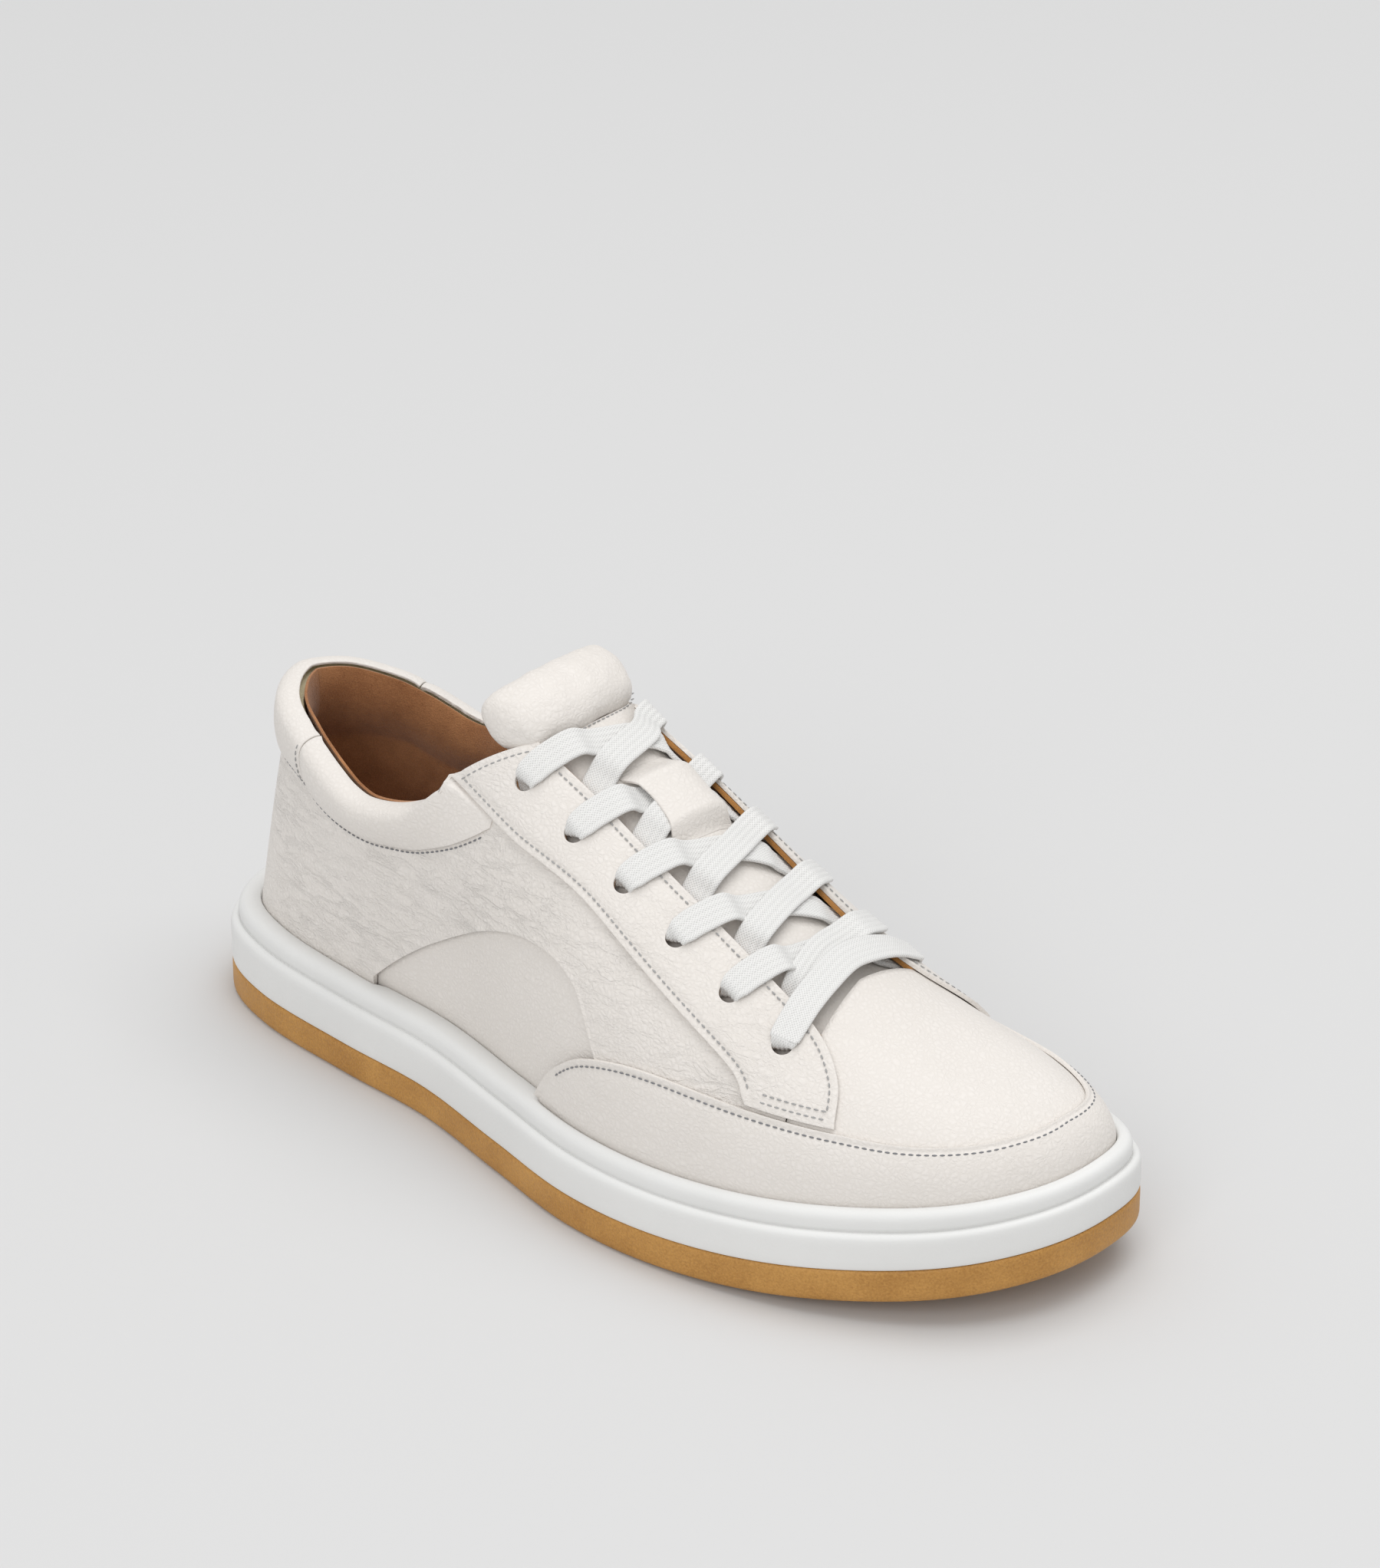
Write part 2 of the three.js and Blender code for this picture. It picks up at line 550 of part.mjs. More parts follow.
const LINING_LAP = UNDERLAP + 0.012; // the eyestay's lining starts just past the quarter's edge
for (const side of SIDES) {
  const stayFace = (u, w, k) => {
    const p = stayPoint(u, w);
    return skin(mirror(p.x, side), p.y, LAYER.overlay[k]);
  };
  addMesh(`eyestay_${side}`, punch(sheet(stayFace, 20, 4), side), LEATHER_FINISH);

  const backingFace = (u, w, k) => {
    const t = lerp(0.19, quarterEnd, u);
    const inner = t < 0.208 ? lerp(0.6, 0.735, (t - 0.19) / 0.018) : curve(STAY_INNER.slice(0, 5), t);
    const v = lerp(stayEdge(t) + LINING_LAP, inner, w);
    return skin(mirror(t, side), v, LAYER.shell[k]);
  };
  addMesh(`eyestay_lining_${side}`, punch(sheet(backingFace, 18, 2), side), {
    color: 0xb87a3c, roughness: 0.9, metalness: 0,
  });
}

// ---- tongue -----------------------------------------------------------------------------------------
const laceUnder = LAYER.shell[0] - PLY - LACE_THICKNESS / 2; // middle of the lace under the eyestay
const laceOver = LAYER.overlay[1] + PLY + LACE_THICKNESS / 2; // and over it
const tongueTop = laceUnder - LACE_THICKNESS / 2 - 0.5;
const TONGUE_LAYERS = {
  face: [tongueTop - LEATHER, tongueTop],
  foam: [tongueTop - LEATHER - PLY - TONGUE_FOAM, tongueTop - LEATHER - PLY],
};
const tongueLow = TONGUE_LAYERS.foam[0] - PLY;
TONGUE_LAYERS.lining = [tongueLow - LINING, tongueLow];
const TONGUE_SEAM = 0.217;
const TONGUE_RISE = 0.004; // its corners reach this much of t further back, to the roll's ends
const TONGUE_FRONT = VAMP_LINING_START - SEAM_GAP;
const tongueWing = (t) => stayEdge(t) + UNDERLAP + 0.02;
for (const [layer, finish] of [["face", LEATHER_FINISH], ["foam", FOAM_FINISH], ["lining", SUEDE_FINISH]]) {
  const face = (u, w, k) => {
    const t = lerp(TONGUE_SEAM - TONGUE_RISE * (2 * w - 1) ** 2, TONGUE_FRONT, u);
    const wing = tongueWing(t);
    return instep(t, lerp(wing, 2 - wing, w), TONGUE_LAYERS[layer][k]);
  };
  addMesh(`tongue_${layer}`, sheet(face, 10, 8), finish);
}

// The padded roll: a cover wrapped round a foam core, sewn to the blade along one seam.
const perT = across(TONGUE_SEAM - 0.02, 1, 0).distanceTo(across(TONGUE_SEAM, 1, 0)) / 0.02;
const ROLL_HINGE = TONGUE_SEAM - 1.2 / perT;
const rollHalf = ROLL_LENGTH / 2 / perT;
const rollMiddle = ROLL_HINGE - rollHalf;
const rollDepth = tongueTop - 1.2;
const ROLL_SPAN = [-18.5 * scaleY, 28 * scaleY]; // y of its ends: it is straighter than the instep
const ROLL_ARCH = 3;
const rollCentre = across(rollMiddle, 1, rollDepth);
const rollAlong = across(ROLL_HINGE, 1, rollDepth).sub(rollCentre).setY(0).normalize();
const rollUp = new THREE.Vector3(-rollAlong.z, 0, rollAlong.x);
function rollPoint(a, angle, shrink) {
  const off = 2 * a - 1;
  const end = Math.abs(off) ** 4; // the roll thins towards its ends
  const half = (ROLL_LENGTH / 2 - shrink) * (1 - 0.3 * end);
  const depth = (ROLL_THICKNESS / 2) * (1 - 0.4 * end) - shrink;
  return rollCentre.clone().setY(lerp(ROLL_SPAN[0], ROLL_SPAN[1], a))
    .addScaledVector(rollUp, depth * Math.sin(angle) - ROLL_ARCH * off ** 2)
    .addScaledVector(rollAlong, half * Math.cos(angle) - 3 * end);
}
const ROLL_OPEN = 0.45; // half angle left open at the seam
const coverSurface = (u, w) => rollPoint(u, lerp(ROLL_OPEN, 2 * Math.PI - ROLL_OPEN, w), COLLAR_SKIN / 2);
addMesh("tongue_roll_cover", thickSheet(coverSurface, 10, 12, COLLAR_SKIN), LEATHER_FINISH);
const coreRings = [...Array(9).keys()].map((i) => [...Array(12).keys()].map((j) => (
  rollPoint(lerp(0.03, 0.97, i / 8), (j / 12) * 2 * Math.PI, COLLAR_SKIN + 3 * PLY)
)));
addMesh("tongue_roll_foam", stackedRings(coreRings), FOAM_FINISH);

// ---- lace keeper: a strip of the tongue between two slots, with the lace under it -----------------
const KEEPER_ROW = 1; // the crossing between this eyelet row and the next, counted from the ankle
const keeperCentre = (eyelets[KEEPER_ROW].x + eyelets[KEEPER_ROW + 1].x) / 2;
const crossingBottom = tongueTop + LACE_THICKNESS / 2 + PLY;
const crossingTop = crossingBottom + LACE_THICKNESS + GAP;
const keeperRise = crossingTop + LACE_THICKNESS / 2 + PLY;
const KEEPER = { halfLength: 17 / 2, halfWidth: 0.075, thickness: 0.9 };
const keeperFace = (u, w, k) => {
  const t = keeperCentre + ((2 * u - 1) * (KEEPER.halfLength + 3)) / perT;
  const hump = smoothstep(1 - Math.abs(2 * u - 1), 0, 0.3);
  const low = lerp(tongueTop + GAP, keeperRise, hump);
  return instep(t, 1 + lerp(-KEEPER.halfWidth, KEEPER.halfWidth, w), low + k * KEEPER.thickness);
};
addMesh("lace_keeper", sheet(keeperFace, 10, 2), LEATHER_FINISH);

// ---- lace --------------------------------------------------------------------------------------------
// The lace is a row of stations: a place on the instep (t, c), a height d, a width and a thickness.
const eyeMid = eyelets[2];
const perEyeT = across(eyeMid.x + 0.01, eyeMid.y, 0).distanceTo(across(eyeMid.x - 0.01, eyeMid.y, 0)) / 0.02;
const perC = across(eyeMid.x, eyeMid.y + 0.1, 0).distanceTo(across(eyeMid.x, eyeMid.y - 0.1, 0)) / 0.2;
const HOLE_WIDTH = 4.2; // the lace bunches up where it goes through a hole
const HOLE_THICKNESS = 1.5;
const PLAIN_LEVELS = [-1.4, 0.2]; // height of the lower and the upper lace where two cross

const holeAt = (row, side) => ({
  t: eyelets[row].x,
  c: side === 0 ? eyelets[row].y : 2 - eyelets[row].y,
  inward: side === 0 ? 1 : -1,
});
// Change of t for each unit of c on the way from one hole to another.
const leanOf = (from, to) => (to.t - from.t) / Math.abs(to.c - from.c);
function station(t, c, d, spread) {
  const width = lerp(HOLE_WIDTH, LACE_WIDTH, spread);
  const thickness = lerp(HOLE_THICKNESS, LACE_THICKNESS, spread);
  return { t, c, d, width, thickness };
}

// Down into a hole from the run over the flap, leaning towards where it came from.
function intoHole(hole, lean) {
  const rows = [[3.4, laceOver, 0.8], [1.5, laceOver - 0.1, 0.25], [0.35, laceOver - 0.9, 0], [0, 0.15, 0]];
  return rows.map(([away, d, spread]) => {
    const c = away / perC;
    return station(hole.t + lean * c, hole.c + hole.inward * c, d, spread);
  });
}
// Out of the hole under the flap, back towards the gap between the flaps.
function outOfHole(hole, lean) {
  const rows = [[0.35, laceUnder + 0.9, 0], [1.5, laceUnder + 0.1, 0.25], [3.4, laceUnder, 0.8]];
  return rows.map(([away, d, spread]) => {
    const c = away / perC;
    return station(hole.t + lean * c, hole.c + hole.inward * c, d, spread);
  });
}
// One crossing, from under one flap at a row to over the other flap at the row above.
function crossing(from, to, level) {
  const keys = [
    [0.12, laceUnder], [0.24, laceUnder], [0.33, level], [0.5, level], [0.67, level],
    [0.76, laceOver], [0.88, laceOver],
  ];
  return keys.map(([s, d]) => station(lerp(from.t, to.t, s), lerp(from.c, to.c, s), d, 1));
}
// The tucked end turns towards the toe beside the tongue, under the flap.
const TUCK = [[-0.35, 0, 0.9], [-1.4, 0.3, 0.1], [-2.8, 1.6, 0], [-3.7, 4, 0], [-4, 7.5, 0]];
function tuckedEnd(hole) {
  return TUCK.map(([away, forward, rise]) => (
    station(hole.t + forward / perEyeT, hole.c + (hole.inward * away) / perC, laceUnder + rise, 0)
  ));
}
// One half of the lace, from the bar at the lowest row up to the top row, side by side.
function laceHalf(startSide) {
  const list = [];
  let side = startSide;
  for (let row = EYELET_ROWS - 1; row >= 0; row -= 1) {
    const here = holeAt(row, side);
    const below = holeAt(row + 1 < EYELET_ROWS ? row + 1 : row, 1 - side);
    list.push(...intoHole(here, -leanOf(below, here)));
    if (row === 0) {
      list.push(...tuckedEnd(here));
    } else {
      const next = holeAt(row - 1, 1 - side);
      const upper = side; // the lace that comes from the inner side's holes lies below
      const kept = [crossingTop, crossingBottom][upper];
      const level = row - 1 === KEEPER_ROW ? kept : PLAIN_LEVELS[1 - upper];
      list.push(...outOfHole(here, leanOf(here, next)), ...crossing(here, next, level));
    }
    side = 1 - side;
  }
  return list;
}
const barRow = eyelets[EYELET_ROWS - 1];
const bar = [-0.6, -0.3, 0, 0.3, 0.6].map((s) => station(barRow.x, 1 + s * (1 - barRow.y), laceOver, 1));
const lace = [...laceHalf(0).reverse(), ...bar, ...laceHalf(1)];

// Width directions lie in the surface, square to the way the lace runs, and never flip over.
function laceRings(list) {
  const points = list.map((s) => instep(s.t, s.c, s.d));
  const flat = list.map((s) => instep(s.t, s.c, 0));
  const normals = list.map((s) => instepNormal(s.t, s.c));
  const before = (i) => Math.max(i - 1, 0);
  const after = (i) => Math.min(i + 1, list.length - 1);
  const widths = list.map((s, i) => {
    const heading = flat[after(i)].clone().sub(flat[before(i)]);
    return heading.length() < 0.6 ? null : normals[i].clone().cross(heading).normalize();
  });
  let last = widths.find((w) => w !== null);
  for (let i = 0; i < widths.length; i += 1) {
    if (widths[i] === null) widths[i] = last.clone();
    if (widths[i].dot(last) < 0) widths[i].negate();
    last = widths[i];
  }
  const bevel = 0.3;
  return list.map((s, i) => {
    const tangent = points[after(i)].clone().sub(points[before(i)]).normalize();
    const up = tangent.clone().cross(widths[i]).normalize();
    const side = up.clone().cross(tangent).normalize();
    const [w, h] = [s.width / 2, s.thickness / 2];
    const corners = [
      [w, h - bevel], [w - bevel, h], [bevel - w, h], [-w, h - bevel],
      [-w, bevel - h], [bevel - w, -h], [w - bevel, -h], [w, bevel - h],
    ];
    return corners.map(([x, y]) => points[i].clone().addScaledVector(side, x).addScaledVector(up, y));
  });
}
const LACE_FINISH = { color: 0xe4e4e2, roughness: 0.9, metalness: 0 };
addMesh("lace", stackedRings(laceRings(lace)), LACE_FINISH);

// Aglets on the tucked ends.
for (const side of [0, 1]) {
  const hole = holeAt(0, side);
  const c = hole.c - (hole.inward * 4.1) / perC;
  const start = TUCK[TUCK.length - 1][1] + GAP + 0.1;
  const rings = [0, 1, AGLET.length - 1, AGLET.length].map((run, i) => {
    const shrink = i === 0 || i === 3 ? 0.3 : 0;
    const t = hole.t + (start + run) / perEyeT;
    const centre = instep(t, c, laceUnder);
    const normal = instepNormal(t, c);
    const tangent = instep(t + 0.004, c, laceUnder).sub(instep(t - 0.004, c, laceUnder)).normalize();
    const wide = normal.clone().cross(tangent).normalize();
    const up = tangent.clone().cross(wide).normalize();
    return [...Array(8).keys()].map((k) => {
      const angle = ((k + 0.5) / 8) * 2 * Math.PI;
      const x = (AGLET.width / 2 - shrink) * Math.cos(angle);
      const y = (LACE_THICKNESS / 2 + 0.05 - shrink) * Math.sin(angle);
      return centre.clone().addScaledVector(wide, x).addScaledVector(up, y);
    });
  });
  addMesh(`aglet_${SIDES[side]}`, stackedRings(rings), { color: 0xf2f2f0, roughness: 0.3, metalness: 0 });
}

export default shoe;
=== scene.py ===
import math

import bmesh
import bpy
import numpy as np
from mathutils import Matrix, Vector, noise


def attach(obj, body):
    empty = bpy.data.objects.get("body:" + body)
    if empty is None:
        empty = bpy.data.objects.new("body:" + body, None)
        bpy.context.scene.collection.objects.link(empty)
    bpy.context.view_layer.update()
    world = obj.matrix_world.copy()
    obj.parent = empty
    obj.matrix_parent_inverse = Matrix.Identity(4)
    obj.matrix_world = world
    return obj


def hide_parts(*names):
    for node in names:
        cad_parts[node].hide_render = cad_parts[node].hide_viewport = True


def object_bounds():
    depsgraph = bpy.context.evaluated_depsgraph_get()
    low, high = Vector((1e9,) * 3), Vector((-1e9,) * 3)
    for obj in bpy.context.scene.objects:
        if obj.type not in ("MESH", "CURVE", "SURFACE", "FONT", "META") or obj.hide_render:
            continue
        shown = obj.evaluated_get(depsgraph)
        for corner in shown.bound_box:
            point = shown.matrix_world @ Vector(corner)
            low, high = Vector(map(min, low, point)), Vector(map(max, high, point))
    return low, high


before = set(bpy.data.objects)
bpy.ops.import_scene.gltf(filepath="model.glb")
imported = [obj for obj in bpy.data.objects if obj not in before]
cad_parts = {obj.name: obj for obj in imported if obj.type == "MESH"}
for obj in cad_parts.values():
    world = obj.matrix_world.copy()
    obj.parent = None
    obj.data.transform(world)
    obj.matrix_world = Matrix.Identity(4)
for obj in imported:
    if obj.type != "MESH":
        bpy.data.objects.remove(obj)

cad_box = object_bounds()
MM = 0.001

# ---- camera, floor and light -------------------------
# A right shoe on a pale studio floor, seen from above, from its outer side and a little from the toe.
# One broad lamp hangs overhead and one stands in front, with soft light from all round.
VIEW = {"azimuth": 42, "elevation": 28, "distance": 1.5, "lens": 139.6}
LOOK_AT = Vector((14.5, -2.75, 40)) * MM  # a point in the middle of the shoe
LOOK_SHIFT = (4.2 * MM, 66.2 * MM)  # right and up from it, to the middle of the picture
LAMP_TARGET = (0, 0, 0.05)
ROOM_LIGHT = 0.66
FLOOR_SHADE = 0.665
FLOOR_REACH = 12  # from the middle to each edge, in metres

azimuth, elevation = math.radians(VIEW["azimuth"]), math.radians(VIEW["elevation"])
back = Vector((math.sin(azimuth) * math.cos(elevation), -math.cos(azimuth) * math.cos(elevation),
               math.sin(elevation)))
right = Vector((math.cos(azimuth), math.sin(azimuth), 0))
up = back.cross(right)
eye = LOOK_AT + right * LOOK_SHIFT[0] + up * LOOK_SHIFT[1] + back * VIEW["distance"]
turn = Matrix((right, up, back)).transposed().to_4x4()
camera = bpy.data.objects.new("camera", bpy.data.cameras.new("camera"))
camera.data.lens = VIEW["lens"]
camera.data.sensor_fit = "HORIZONTAL"
camera.matrix_world = Matrix.Translation(eye) @ turn
bpy.context.scene.collection.objects.link(camera)
bpy.context.scene.camera = camera
bpy.context.scene.view_settings.view_transform = "Standard"


def soft_lamp(name, spot, size, power):
    lamp = bpy.data.lights.new(name, "AREA")
    lamp.shape = "SQUARE"
    lamp.size = size
    lamp.energy = power
    holder = bpy.data.objects.new(name, lamp)
    holder.location = spot
    holder.rotation_euler = (Vector(LAMP_TARGET) - Vector(spot)).to_track_quat("-Z", "Y").to_euler()
    bpy.context.scene.collection.objects.link(holder)


soft_lamp("overhead_lamp", (0.3, 0.5, 3.0), 2.4, 42)
soft_lamp("front_lamp", (1.2, -3.4, 2.6), 2.2, 42)

world = bpy.data.worlds.new("studio")
world.use_nodes = True
backdrop = world.node_tree.nodes["Background"]
backdrop.inputs["Color"].default_value = (1, 1, 1, 1)
backdrop.inputs["Strength"].default_value = ROOM_LIGHT
bpy.context.scene.world = world


class Wire:
    """A shader socket in an expression. Each operator adds the Math node that works it out."""

    def __init__(self, finish, socket):
        self.finish = finish
        self.socket = socket

    def math(self, operation, *values):
        inputs = dict(enumerate((self,) + values))
        return self.finish.node("ShaderNodeMath", {"operation": operation}, inputs)["Value"]

    def __add__(self, other):
        return self.math("ADD", other)

    def __mul__(self, other):
        return self.math("MULTIPLY", other)

    def __sub__(self, other):
        return self.math("SUBTRACT", other)

    def __rsub__(self, other):
        return (self * -1).math("ADD", other)


class Outputs:
    """The outputs of a node, by name or place, as wires."""

    def __init__(self, finish, made):
        self.finish = finish
        self.made = made

    def __getitem__(self, name):
        return Wire(self.finish, self.made.outputs[name])


class Finish:
    """A material under way: a principled shader, and the nodes that lead to it."""

    def __init__(self, name, **constants):
        self.material = bpy.data.materials.new(name)
        self.material.use_nodes = True
        self.shader = self.material.node_tree.nodes["Principled BSDF"]
        for key, value in constants.items():
            self.put(self.shader.inputs[key.replace("_", " ").title().replace("Ior", "IOR")], value)

    def put(self, socket, value):
        if isinstance(value, Wire):
            self.material.node_tree.links.new(value.socket, socket)
        elif isinstance(value, tuple) and len(value) == 3 and socket.type == "RGBA":
            socket.default_value = (*value, 1)
        else:
            socket.default_value = value

    def node(self, kind, settings=None, inputs=None):
        made = self.material.node_tree.nodes.new(kind)
        for key, value in (settings or {}).items():
            setattr(made, key, value)
        for key, value in (inputs or {}).items():
            self.put(made.inputs[key], value)
        return Outputs(self, made)

    def coordinates(self, stretch=(1, 1, 1), rotate=(0, 0, 0)):
        place = self.node("ShaderNodeTexCoord")["Object"]
        inputs = {"Vector": place, "Scale": stretch, "Rotation": rotate}
        return self.node("ShaderNodeMapping", None, inputs)["Vector"]

    def noise(self, place, scale, detail=3, roughness=0.5, distortion=0):
        inputs = {"Vector": place, "Scale": scale, "Detail": detail, "Roughness": roughness,
                  "Distortion": distortion}
        return self.node("ShaderNodeTexNoise", None, inputs)["Fac"]

    def ramp(self, value, low, high):
        """0 below low, 1 above high, and straight between."""
        inputs = {"Value": value, "From Min": low, "From Max": high}
        return self.node("ShaderNodeMapRange", None, inputs)["Result"]

    def blend(self, amount, first, second):
        """A colour between two. Sockets 0, 6, 7 and 2 are the Mix node's own for colours."""
        return self.node("ShaderNodeMix", {"data_type": "RGBA"}, {0: amount, 6: first, 7: second})[2]

    def bump(self, height, depth, strength=1.0):
        """A relief of this depth, in metres, for a height from 0 to 1."""
        inputs = {"Height": height, "Distance": depth, "Strength": strength}
        self.put(self.shader.inputs["Normal"], self.node("ShaderNodeBump", None, inputs)["Normal"])

    def colour(self, value):
        self.put(self.shader.inputs["Base Color"], value)


floor_finish = Finish("floor_paint", base_color=(FLOOR_SHADE,) * 3, roughness=0.9, specular_ior_level=0.1)
floor_mesh = bmesh.new()
bmesh.ops.create_grid(floor_mesh, x_segments=1, y_segments=1, size=FLOOR_REACH)
floor_data = bpy.data.meshes.new("floor")
floor_mesh.to_mesh(floor_data)
floor_mesh.free()
floor = bpy.data.objects.new("floor", floor_data)
floor.data.materials.append(floor_finish.material)
bpy.context.scene.collection.objects.link(floor)

# ---- gum tread ---------------------------------------
# The outsole: one moulding of natural gum rubber, cemented under the white cup. Its wall is finely
# pebbled, its underside carries a chevron tread, and its toe curls off the ground.
LENGTH, WIDTH = (cad_box[1][0] - cad_box[0][0]) / MM, (cad_box[1][1] - cad_box[0][1]) / MM
TOE_SPRING = 13  # how far the toe curls up
SPRING_START = 0.59 * LENGTH
TREAD = 10
OUTLINE = [
    (0, 1), (9, -22), (33, -33), (70, -37), (105, -39), (140, -46.5), (175, -53.5), (212, -52.5),
    (248, -43.5), (281, -25.5), (299, -4), (305, 20), (299, 43), (272, 57), (237, 59), (200, 56),
    (165, 49), (130, 40), (98, 36.5), (66, 38), (33, 34.5), (9, 23),
]
AROUND = 320  # steps round the sole


def lerp(a, b, share):
    return a + (b - a) * share


def smoothstep(x, low, high):
    share = np.clip((x - low) / (high - low), 0, 1)
    return share * share * (3 - 2 * share)


def through(a, b, c, d, f):
    """The point a share f of the way from b to c, on a smooth curve through all four."""
    return 0.5 * (2 * b + (c - a) * f + (2 * a - 5 * b + 4 * c - d) * f**2 + (3 * b - a - 3 * c + d) * f**3)


def ring(values, t):
    """A smooth closed curve through the values, t from 0 to 1."""
    count = len(values)
    place = np.mod(t, 1) * count
    i = np.floor(place).astype(int) % count
    f = place - np.floor(place)
    return through(*(values[(i + k) % count] for k in (-1, 0, 1, 2)), f)


outline_x, outline_y = np.array(OUTLINE, float).T
drawn = [ring(values, np.linspace(0, 1, 721)) for values in (outline_x, outline_y)]
scale_x, scale_y = LENGTH / np.ptp(drawn[0]), WIDTH / np.ptp(drawn[1])
outline_x, outline_y = outline_x * scale_x, outline_y * scale_y
origin = np.array([(row.max() + row.min()) / 2 * s for row, s in zip(drawn, (scale_x, scale_y))] + [0])


def plan(t, inset):
    """A point of the outline moved in by inset, in mm from the heel, shape (..., 2)."""
    step = 1e-3
    dx = ring(outline_x, t + step) - ring(outline_x, t - step)
    dy = ring(outline_y, t + step) - ring(outline_y, t - step)
    size = np.hypot(dx, dy)
    return np.stack([ring(outline_x, t) - dy / size * inset, ring(outline_y, t) + dx / size * inset], -1)


def spring(x):
    return TOE_SPRING * (np.maximum(0, x - SPRING_START) / (LENGTH - SPRING_START)) ** 2


def solid_point(flat, z):
    return (np.concatenate([flat, z[..., None]], -1) - origin) * MM


def grid(place, cells, join=0.0):
    """A bmesh grid with a UV map, each vertex put where place(u, w) says, u and w from 0 to 1."""
    mesh = bmesh.new()
    mesh.loops.layers.uv.new("UVMap")
    bmesh.ops.create_grid(mesh, x_segments=cells[0], y_segments=cells[1], size=0.5, calc_uvs=True)
    flat = np.array([vert.co[:2] for vert in mesh.verts])
    flat = (flat - flat.min(0)) / (flat.max(0) - flat.min(0))
    for vert, spot in zip(mesh.verts, place(flat[:, 0], flat[:, 1])):
        vert.co = spot
    if join:
        bmesh.ops.remove_doubles(mesh, verts=mesh.verts, dist=join)
    return mesh


def merge(*meshes):
    """Several bmeshes as one."""
    whole = bmesh.new()
    for mesh in meshes:
        part = bpy.data.meshes.new("part")
        mesh.to_mesh(part)
        mesh.free()
        whole.from_mesh(part)
        bpy.data.meshes.remove(part)
    return whole


def piece(name, mesh, finish, nodes=(), body="shoe", wall=0.0, edge=0.0):
    """An object from a bmesh. wall thickens it inwards and edge rounds its rims, in mm."""
    data = bpy.data.meshes.new(name)
    mesh.to_mesh(data)
    mesh.free()
    data.polygons.foreach_set("use_smooth", [True] * len(data.polygons))
    made = bpy.data.objects.new(name, data)
    bpy.context.scene.collection.objects.link(made)
    data.materials.append(finish.material)
    if wall:
        thick = made.modifiers.new("wall", "SOLIDIFY")
        thick.thickness = wall * MM
        thick.offset = -1
    if edge:
        rim = made.modifiers.new("edge", "BEVEL")
        rim.width = edge * MM
        rim.segments = 2
        rim.limit_method = "ANGLE"
        rim.angle_limit = math.radians(50)
    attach(made, body)
    if nodes:
        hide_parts(*nodes)
    return made


def loft(rows):
    """A closed band from rows of points (row, around, xyz), joined into a ring."""
    rows = np.array(rows)

    def place(u, w):
        i = np.rint(u * AROUND).astype(int) % AROUND
        j = np.rint(w * (len(rows) - 1)).astype(int)
        return rows[j, i]
    return grid(place, (AROUND, len(rows) - 1), join=1e-6)


def rounded(rows, steps=4):
    """Rows of numbers made smooth: more rows on a curve through them."""
    rows = np.array(rows, float)
    rows = np.vstack([2 * rows[0] - rows[1], rows, 2 * rows[-1] - rows[-2]])
    made = []
    for a, b, c, d in zip(rows, rows[1:], rows[2:], rows[3:]):
        made += [through(a, b, c, d, f) for f in np.arange(steps) / steps]
    return made + [rows[-2]]


around = np.arange(AROUND) / AROUND
# Each row: inset from the widest line, and height above the curl of the tread.
TREAD_WALL = [(1.5, 0), (0.7, 0.35), (0.2, 1.2), (0, 2.6), (0, 5), (0, 8.2), (0.12, 9.4), (0.5, TREAD)]
TREAD_TOP = [(3, TREAD), (9, TREAD)]
wall_rows = []
for inset, rise in rounded(TREAD_WALL) + TREAD_TOP:
    spot = plan(around, inset)
    wall_rows.append(solid_point(spot, spring(spot[:, 0]) + rise))
CHEVRON = {"pitch": 7.5, "width": 15, "groove": 0.36, "depth": 1.6, "border": 5}


def underside(u, w):
    left, facing = plan(u / 2, TREAD_WALL[0][0]), plan(1 - u / 2, TREAD_WALL[0][0])
    spot = lerp(left, facing, w[:, None])
    gap = np.linalg.norm(facing - left, axis=-1)
    margin = np.minimum(np.minimum(w, 1 - w) * gap, np.minimum(u, 1 - u) * LENGTH)
    zigzag = np.abs(np.mod(spot[:, 1] / CHEVRON["width"], 2) - 1)
    phase = np.mod(spot[:, 0] / CHEVRON["pitch"] + zigzag, 1)
    inside = smoothstep(margin, CHEVRON["border"] - 0.6, CHEVRON["border"])
    cut = 1 - smoothstep(np.abs(phase - 0.5), CHEVRON["groove"] / 2 - 0.06, CHEVRON["groove"] / 2)
    return solid_point(spot, spring(spot[:, 0]) + CHEVRON["depth"] * cut * inside)


gum = Finish("gum_rubber", roughness=0.42, specular_ior_level=0.45)
gum_place = gum.coordinates()
gum_cloud = gum.noise(gum_place, 60, 2)
gum_pebble = gum.noise(gum_place, 1500, 2, 0.6)
gum.colour(gum.blend(gum.ramp(gum_pebble * 0.55 + gum_cloud * 0.45, 0.35, 0.65), (0.40, 0.185, 0.035),
                     (0.58, 0.30, 0.075)))
gum.put(gum.shader.inputs["Roughness"], gum.ramp(gum_pebble, 0.2, 0.8) * 0.25 + 0.35)
gum.bump(gum_pebble, 0.0004, 0.7)
tread_mesh = merge(loft(wall_rows), grid(underside, (AROUND // 2, 110), join=1e-6))
bmesh.ops.remove_doubles(tread_mesh, verts=tread_mesh.verts, dist=2e-6)
bmesh.ops.recalc_face_normals(tread_mesh, faces=tread_mesh.faces)
piece("gum_tread", tread_mesh, gum, ["outsole"])

